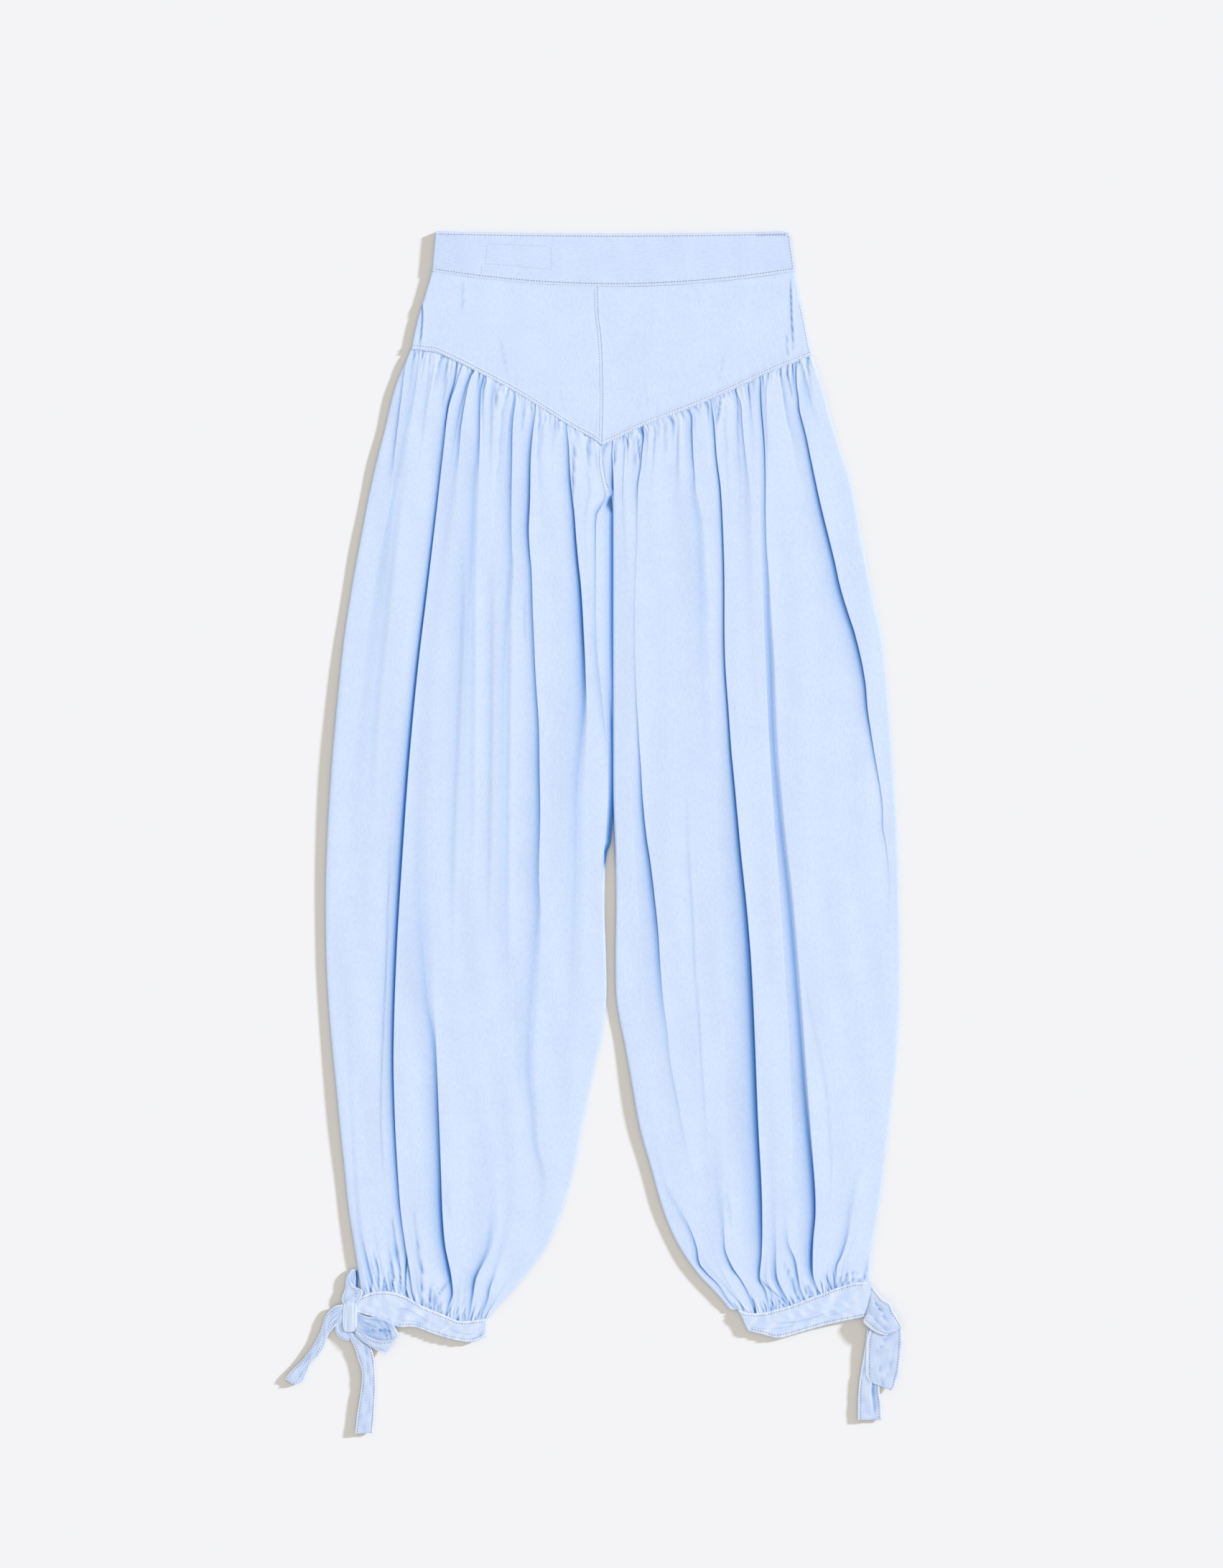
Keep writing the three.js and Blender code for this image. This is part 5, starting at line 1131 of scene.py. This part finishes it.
# %% The stations of each tie: across, drop, lift of one edge and of the other
TIES = {
    "tie_left_loop_up": [
        (-244.5, 1024, 0.9, -255.5, 1024, 0.9), (-244, 1010, 0.9, -255.6, 1010, 0.9),
        (-244.4, 1001.6, 0.9, -253.6, 1000.4, 0.9), (-246, 997.6, 1.3, -251.2, 996.8, 1.3),
        (-247.6, 998.6, 2.1, -252, 997.9, 2.1), (-250.8, 1002.8, 2.4, -255, 1002.4, 2.3),
        (-250.8, 1008.6, 2.5, -256.4, 1008.6, 2.3), (-247.4, 1013, 2.7, -256.6, 1014.4, 2.4),
        (-240.4, 1016.6, 4, -258.8, 1020, 2.5), (-240.8, 1022, 4.5, -260.2, 1025.6, 2.5),
        (-245.8, 1028.6, 4, -258.6, 1030.6, 2.7)],
    "tie_left_loop_right": [
        (-250, 1056.4, 2.2, -250, 1036.4, 2.2), (-236.4, 1064, 2.2, -236, 1041.6, 3.6),
        (-226, 1070.4, 2.2, -225, 1042.6, 4.2), (-219.6, 1074.2, 2.2, -213.6, 1046.4, 4.2),
        (-217.8, 1076.8, 2.8, -206.4, 1056.4, 4.4), (-218.2, 1077.2, 4, -206.2, 1060, 5.2),
        (-222.6, 1075.6, 4.6, -211.8, 1063.8, 5.8), (-231, 1071.4, 4.6, -222.6, 1064.8, 5.8),
        (-239.6, 1065.6, 4.6, -233.8, 1061, 5.6), (-247.4, 1059.4, 4.2, -246.8, 1052, 4.8)],
    "tie_left_loop_low": [
        (-258, 1046.6, 1.8, -263.4, 1045.4, 1.6), (-259, 1050.2, 1.8, -266, 1050.6, 1.6),
        (-258.4, 1053.6, 1.8, -266.2, 1056.2, 1.6), (-256.4, 1056.4, 1.8, -262.8, 1061.8, 1.6),
        (-253.8, 1057.4, 1.8, -257, 1065, 1.6), (-251.8, 1057.4, 1.8, -252.6, 1065.2, 1.6)],
    "tie_left_tail_side": [
        (-258.8, 1030.4, 3.4, -258.8, 1046, 2.8), (-266, 1031.8, 2.9, -264.8, 1050.2, 1.8),
        (-272.5, 1037.2, 2.2, -269, 1054.4, 1.8), (-277.2, 1045, 1.9, -272.4, 1059.2, 1.8),
        (-280.2, 1055, 1.9, -275.6, 1066.6, 1.8), (-287, 1068.5, 1.9, -281.6, 1078.6, 1.8),
        (-296, 1081.4, 1.9, -290.4, 1087.6, 1.8), (-305.6, 1091.4, 1.9, -293.8, 1096.2, 1.8),
        (-312.4, 1098.8, 1.9, -297.6, 1104.6, 1.8), (-314.2, 1103.6, 1.9, -306, 1107.8, 1.8)],
    "tie_left_tail_down": [
        (-246, 1057.6, 2.1, -255.4, 1057.6, 2.1), (-238.4, 1065.4, 2.1, -250.4, 1066.2, 2.1),
        (-232, 1071.6, 2.1, -247.4, 1073.4, 2.1), (-229.2, 1081.4, 2.1, -244.2, 1083.4, 2.1),
        (-228.2, 1093, 2.1, -241, 1094, 2.1), (-227.6, 1106, 2.1, -240.9, 1106, 2.1),
        (-227.7, 1119, 2.1, -242.6, 1119, 2.1), (-228.4, 1133, 2.1, -245, 1133.6, 2.1),
        (-229.3, 1146, 2.1, -246.6, 1147.4, 2.1), (-230.2, 1153.4, 2.1, -247.6, 1155, 2.1)],
    "tie_right_turn": [
        (247.6, 1010.4, 2.9, 247.6, 1041, 3.6), (253.4, 1017.4, 3.4, 241.6, 1043.6, 4.2),
        (259.6, 1024.4, 4, 240.8, 1047.4, 4.8), (266.4, 1028.4, 4.6, 245.4, 1051.8, 5.4),
        (269.4, 1036, 4.9, 252.4, 1056.6, 5.9), (274.2, 1044.4, 5, 261.4, 1059.4, 6),
        (277.4, 1052.4, 5, 270, 1056.6, 5.6)],
    "tie_right_end": [
        (278.2, 1052.6, 3, 247.6, 1053, 2.9), (279, 1060, 3, 244.6, 1060.4, 2.9),
        (278.9, 1070, 3, 243.2, 1071, 2.9), (277.6, 1084, 3, 242.8, 1084, 2.9),
        (276, 1095, 3, 242.8, 1094, 2.9), (273.6, 1103, 3, 243.6, 1099.6, 2.9),
        (271.4, 1109.6, 3, 247, 1104.6, 2.9), (268, 1112.8, 3, 254, 1107.8, 2.9)],
    "tie_right_tail": [
        (249.2, 1021, 1.9, 249.2, 1040.4, 1.9), (258, 1033, 1.9, 246, 1049, 1.9),
        (260, 1050, 1.9, 243.6, 1060, 1.9), (258.6, 1076, 1.9, 241.4, 1077, 1.9),
        (257.4, 1100, 1.9, 237.4, 1101, 1.9), (256.4, 1114, 1.9, 236, 1114, 1.9),
        (258.4, 1128, 1.9, 235.4, 1128, 1.9), (258.8, 1141.2, 1.9, 235.4, 1141.8, 1.9)],
}

# %% The valleys pressed into each tie
TIE_CREASES = {
    "tie_left_loop_up": [(7.4, -0.9, 9.8, 0.9, 0.7, 0.7), (0.2, -0.55, 3.4, -0.45, 1.9, 3.4),
                         (5, 0.2, 8, 0, 0.5, 0.8)],
    "tie_left_loop_right": [(0.3, -0.6, 4, 0.2, -1, 1), (1.8, 0.9, 3.4, -0.3, 1, 0.7),
                            (2.4, 0.95, 3.8, 0.1, 1.3, 0.7), (0.6, 0.5, 2.6, 0.2, 0.9, 1.2),
                            (1, -0.1, 3.6, 0.55, 1.2, 0.9)],
    "tie_left_loop_low": [(0, 0.1, 4.9, 0.1, 1, 0.5)],
    "tie_left_tail_side": [(0, 0.05, 7.4, -0.1, 1.3, 0.7), (0, -0.35, 6.5, -0.45, 0.7, 0.6),
                           (0.3, 0.45, 2.4, 0.8, 1.2, 0.6), (0.2, 0.2, 1.8, 0.75, 0.9, 0.5)],
    "tie_left_tail_down": [(0.6, -0.5, 4.6, 0.3, 0.8, 1.2), (6, -0.2, 8.6, 0.3, 0.35, 1)],
    "tie_right_turn": [(0.6, -0.5, 4.8, 0, 1.3, 1.2), (0.5, 0.25, 5.2, 0.55, 0.9, 1.6)],
    "tie_right_end": [(0.2, -0.3, 2.4, 0.3, 1, 1.6), (3, 0.25, 6.8, 0, 1, 1.2),
                      (2, -0.5, 5, -0.2, 0.5, 1.5)],
    "tie_right_tail": [(2.5, -0.25, 6.9, -0.3, 1.5, 2.2)],
}
TIE_THICKNESS, LOOP_THICKNESS = 2.2, 1.5
INNER_SIDE_ENDS = {"tie_left_loop_up": 3.6, "tie_left_loop_right": 3.8}
ties, tie_cut = {}, {}
for number, (name, stations) in enumerate(TIES.items()):
    thick = LOOP_THICKNESS if "loop" in name else TIE_THICKNESS
    ties[name], wide, long = tube(f"{name}_cloth", stations, TIE_CREASES[name], number * 1.7,
                                  thick, INNER_SIDE_ENDS.get(name, -1))
    tie_cut[name] = (wide, long)
    print(name, "is", round(wide, 1), "by", round(long, 1), "mm")

# %% [markdown]
# The knot is a short roll of the tie, wrapped once round the others. It is a flat-topped lump,
# narrower at the top of the wrap than below, so we shape a sphere's points into it.

# %% Knot
def knot():
    bm = bmesh.new()
    shade_painted, worn_and_lit = (bm.verts.layers.float.new(mark) for mark in ("painted_shade", "wear_and_highlight"))
    bmesh.ops.create_uvsphere(bm, u_segments=64, v_segments=40, radius=1.0)
    for v in bm.verts:
        aside, down, up = v.co
        ribs = 0.30 * math.sin(aside * 6 + 1.5 * down) + 0.18 * math.sin(aside * 13 - 2 * down)
        stitched = 0.5 * math.exp(-((aside - 0.42) / 0.07) ** 2)
        half_width = mix(7.6, 6.7, 0.5 + 0.5 * down)
        across = (mix(-252.6, -252.0, 0.5 + 0.5 * down)
                  + half_width * math.copysign(abs(aside) ** 0.62, aside))
        drop = 1042.0 - 15.2 * math.copysign(abs(down) ** 0.5, down)
        lift = (2.9 + 0.4 * aside + 2.1 * math.copysign(abs(up) ** 0.6, up)
                + (ribs - stitched if up > 0 else 0))
        v.co = at(across, drop, max(lift, 0.05))
        # Painted shade on the low sides of the ribs and in the stitched groove. The whole knot is
        # paled as a painted highlight, and its rims more, from wear and painted highlight.
        v[shade_painted] = min(0.5, max(0.0, 0.02 - 0.25 * ribs + 0.2 * stitched))
        v[worn_and_lit] = 0.25 + 0.45 * math.exp(-((abs(aside) - 0.85) / 0.08) ** 2)
    for face in bm.faces:
        face.smooth = True
    bmesh.ops.recalc_face_normals(bm, faces=bm.faces[:])
    return new_piece("tie_left_knot_cloth", bm)


ties["tie_left_knot"] = knot()
tie_cut["tie_left_knot"] = (12.0, 50.0)

# %% [markdown]
# ## Stitches
# Topstitching is hundreds of short threads in rows. Each stitch is a small stretched icosphere,
# laid on the cloth with a ray from above, with a dark dot behind it that paints the shade of its
# needle hole. All stitches of one seam are joined in one mesh.

# %% Rows of stitches
STITCH_PITCH = 2.76
STITCH_LENGTH = 1.5
HOLE_LENGTH = 1.2
STITCH_STANDS = 0.10
RAY_START = 0.05


def surface_of(*pieces):
    """What a ray from above meets first on these pieces, with their modifiers applied."""
    depsgraph = bpy.context.evaluated_depsgraph_get()
    trees = [BVHTree.FromObject(piece, depsgraph) for piece in pieces]

    def height(x, y):
        hits = [tree.ray_cast(Vector((x, y, RAY_START)), Vector((0, 0, -1)))[0] for tree in trees]
        return max((hit.z for hit in hits if hit), default=None)
    return height


def spaced(points, pitch):
    """Points every half pitch along a line of garment places, with the way it runs there."""
    line = np.asarray(points, float)
    steps = np.linalg.norm(np.diff(line, axis=0), axis=1)
    travelled = np.concatenate([[0], np.cumsum(steps)])
    for s in np.arange(pitch / 2, travelled[-1], pitch / 2):
        here, there = (np.array([np.interp(place, travelled, line[:, k]) for k in (0, 1)])
                       for place in (s, min(s + 0.4, travelled[-1])))
        yield here, there - here


def stitch_rows(name, lines, pieces, material, thick):
    height = surface_of(*pieces)
    bm = bmesh.new()
    made = 0
    for points in lines:
        for number, (here, way) in enumerate(spaced(points, STITCH_PITCH)):
            place = Vector(at(here[0], here[1], 0.0))
            lift = height(place.x, place.y)
            if lift is None:
                continue
            # Every second mark is a needle hole: sunk a little, shorter, and given the dark
            # material that paints its shade.
            sunk = number % 2
            long = HOLE_LENGTH if sunk else STITCH_LENGTH
            size = Matrix.Diagonal((long / 2 * MM, thick / 2 * MM, thick / 2 * MM, 1))
            turn = Matrix.Rotation(math.atan2(-way[1], way[0]), 4, "Z")
            above = -STITCH_STANDS if sunk else STITCH_STANDS
            move = Matrix.Translation((place.x, place.y, lift + above * MM))
            before = len(bm.faces)
            bmesh.ops.create_icosphere(bm, subdivisions=1, radius=1.0, matrix=move @ turn @ size)
            bm.faces.ensure_lookup_table()
            for face in bm.faces[before:]:
                face.material_index = sunk
            made += 1 - sunk
    piece = new_piece(name, bm)
    piece.data.materials.append(material)
    piece.data.materials.append(thread_hole_shade)
    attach(piece, "root")
    print(name, "stitches:", made)


def along(drop_of, start, end, offset):
    across = np.linspace(start, end, 60)
    return np.stack([across, drop_of(across) + offset], axis=1)


def down_along(line, start, end, count, offset):
    drops = np.linspace(start, end, count)
    return np.stack([line(drops) + offset, drops], axis=1)


bpy.context.view_layer.update()

panel = [[(-120.1, 11.7), (-122.1, 31.1)], [(-120.1, 11.7), (-64.9, 14.0)],
         [(-121.4, 31.0), (-100.7, 32.5), (-60.0, 36.6)], [(-58.6, 14.2), (-58.8, 37.0)],
         [(-125.6, 31.7), (-125.9, 41.4)]]
stitch_rows("stitches_panel", panel, [waistband], thread_pale, 0.45)
waist_lines = [along(waist_top, -168.5, 169.0, 2.1), along(waist_seam, -171.5, 173.5, -3.1),
               [(168.6, 3.0), (173.2, 36.0)], along(waist_top, 137, 167, 3.4)]
stitch_rows("stitches_waistband", waist_lines, [waistband], thread_beige, 0.85)

# %% Rows on the yoke, the crotch and the cuffs
YOKE_ROWS = {"left": (-193, -12.5), "right": (-8.5, 190)}
front_yokes = [yokes["left"], yokes["right"]]
yoke_lines = [along(YOKE_SEAM[side], *run, -3.9) for side, run in YOKE_ROWS.items()]
yoke_lines.append(down_along(YOKE_EDGES["centre"], 54, 203, 60, -2.8))
yoke_lines.append(down_along(YOKE_EDGES["outer_right"], 70, 116, 20, -2.2))
stitch_rows("stitches_yoke", yoke_lines, front_yokes, thread_beige, 0.62)
yoke_edge = [along(YOKE_SEAM[side], *run, -1.3) for side, run in YOKE_ROWS.items()]
stitch_rows("stitches_yoke_edge", yoke_edge, front_yokes, thread_pale, 0.6)

crotch = [[(-12.4, 207.7), (-12.4, 221.5), (-11.3, 232.5), (-9.7, 239.4), (-6.9, 249),
           (-6.2, 256.7)], [(-6.4, 240.6), (-3.2, 246.4)]]
stitch_rows("stitches_crotch", crotch, [legs["left"], legs["right"]], thread_beige, 0.6)

for side, hem_start in (("left", 0.33), ("right", 0.03)):
    upper, _ = cuff_edges(side)(np.linspace(0.05, 0.97, 80))
    _, lower = cuff_edges(side)(np.linspace(hem_start, 0.97, 80))
    cuff_lines = [np.stack([across, drop + inwards], axis=1)
                  for (across, drop), inwards in ((upper, 2.4), (lower, -2.4))]
    stitch_rows(f"stitches_cuff_{side}", cuff_lines, [cuffs[side]], thread_beige, 0.8)

# %% [markdown]
# Each tie is stitched close to both long edges. The rows follow the same stations as the cloth.

# %% Stitches of the ties
STITCHED_TIES = [
    ("tie_left_tail_side", 1, 9, (0.11, 0.70)), ("tie_left_tail_down", 1, 9, (0.11, 0.89)),
    ("tie_left_loop_up", 7, 9, (0.3,)), ("tie_left_loop_right", 5.4, 9, (0.72,)),
    ("tie_right_turn", 0, 6, (0.11, 0.89)), ("tie_right_end", 0, 7, (0.11, 0.89)),
    ("tie_right_tail", 4, 7, (0.13, 0.89))]
for number, (name, start, end, shares) in enumerate(STITCHED_TIES):
    rows = smooth_rows(TIES[name])[int(start * STATION_STEPS):int(end * STATION_STEPS) + 1]
    tie_lines = [mix(rows[:, 0:2], rows[:, 3:5], share) for share in shares]
    stitch_rows(f"stitches_{number}_{name}", tie_lines, [ties[name]], thread_beige, 0.75)

# %% [markdown]
# ## What each piece stands for
# Every cloth piece takes the place of its solid, which is hidden, and is attached to the root
# body. Every cloth piece takes the place of its solid, rides with it, and is declared as a
# sheet with the size of the cloth that shows. The leg panels are gathered at both ends, so
# their cut is wider still: the folds that lie flat on each other hide the rest.

# %% Materials and bodies
def finish_cloth(piece, material, node_name):
    piece.data.materials.append(material)
    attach(piece, "root")
    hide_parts(node_name)


for side in ("left", "right"):
    finish_cloth(legs[side], denim_face, f"leg_front_{side}")
    finish_cloth(backs[f"leg_back_{side}"], denim_inside, f"leg_back_{side}")
    finish_cloth(yokes[side], denim_face, f"yoke_front_{side}")
    finish_cloth(backs[f"yoke_back_{side}"], denim_inside, f"yoke_back_{side}")
    finish_cloth(cuffs[side], denim_band, f"cuff_{side}")
finish_cloth(waistband, denim_band, "waistband")
for name, piece in ties.items():
    wide, long = tie_cut[name]
    finish_cloth(piece, denim_tie, name)

# %% [markdown]
# ## Table, light and camera
# The jeans lie on a pale matt table and are seen from straight above. A low sun from the right
# draws the narrow shadow beside the jeans. It is linked to the table alone, because on the cloth
# it would rake too hard. The cloth gets a higher, softer sun and an even pale sky.

# %% Table
TABLE_SIZE = 30.0


def table_top():
    bm = bmesh.new()
    bmesh.ops.create_grid(bm, x_segments=2, y_segments=2, size=TABLE_SIZE / 2)
    top = new_piece("table", bm)
    material, tree, shader = new_material("table top, matt")
    feed(tree, shader, {"Base Color": (0.791, 0.755, 0.695, 1), "Roughness": 1.0,
                        "Specular IOR Level": 0.0})
    top.data.materials.append(material)
    return top


table = table_top()
table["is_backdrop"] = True

# %% Light
LIGHT_AZIMUTH = 67.7


def sun(name, strength, colour, elevation, spread, lit):
    """A sun that lights only some pieces. Angles are in degrees, the azimuth from +Y to +X."""
    light = bpy.data.lights.new(name, "SUN")
    light.energy, light.color, light.angle = strength, colour, math.radians(spread)
    lamp = add_object(name, light)
    a, e = math.radians(LIGHT_AZIMUTH), math.radians(elevation)
    toward = Vector((math.sin(a) * math.cos(e), math.cos(a) * math.cos(e), math.sin(e)))
    lamp.rotation_euler = toward.to_track_quat("Z", "Y").to_euler()
    receivers = bpy.data.collections.new(f"lit by the {name}")
    for piece in lit:
        receivers.objects.link(piece)
    lamp.light_linking.receiver_collection = receivers


sun("sun on the table", 8.70, (0.684, 0.780, 1.0), 12.0, 3.0, [table])
sun("sun on the cloth", 1.85, (1.0, 1.0, 1.0), 40, 12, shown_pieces())

world = bpy.data.worlds.new("pale studio")
world.use_nodes = True
feed(world.node_tree, world.node_tree.nodes["Background"],
     {"Color": (1, 1, 1, 1), "Strength": 0.75})
bpy.context.scene.world = world
bpy.context.scene.view_settings.view_transform = "Standard"

# %% Camera
PICTURE_WIDTH, PICTURE_HEIGHT = 1703, 2184
PIXEL = 0.69 * MM
VIEW_CENTRE = (0.0168, 0.0470)
CAMERA_HEIGHT = 4.0
camera = add_object("camera", bpy.data.cameras.new("camera"))
camera.location = (*VIEW_CENTRE, CAMERA_HEIGHT)
camera.data.sensor_fit = "VERTICAL"
camera.data.angle_y = 2 * math.atan(PICTURE_HEIGHT * PIXEL / 2 / CAMERA_HEIGHT)
bpy.context.scene.camera = camera

# %% [markdown]
# ## Finish
# The cloth may stand a little proud of the solids' box and no more.

# %% Update the scene and finish
bpy.context.view_layer.update()
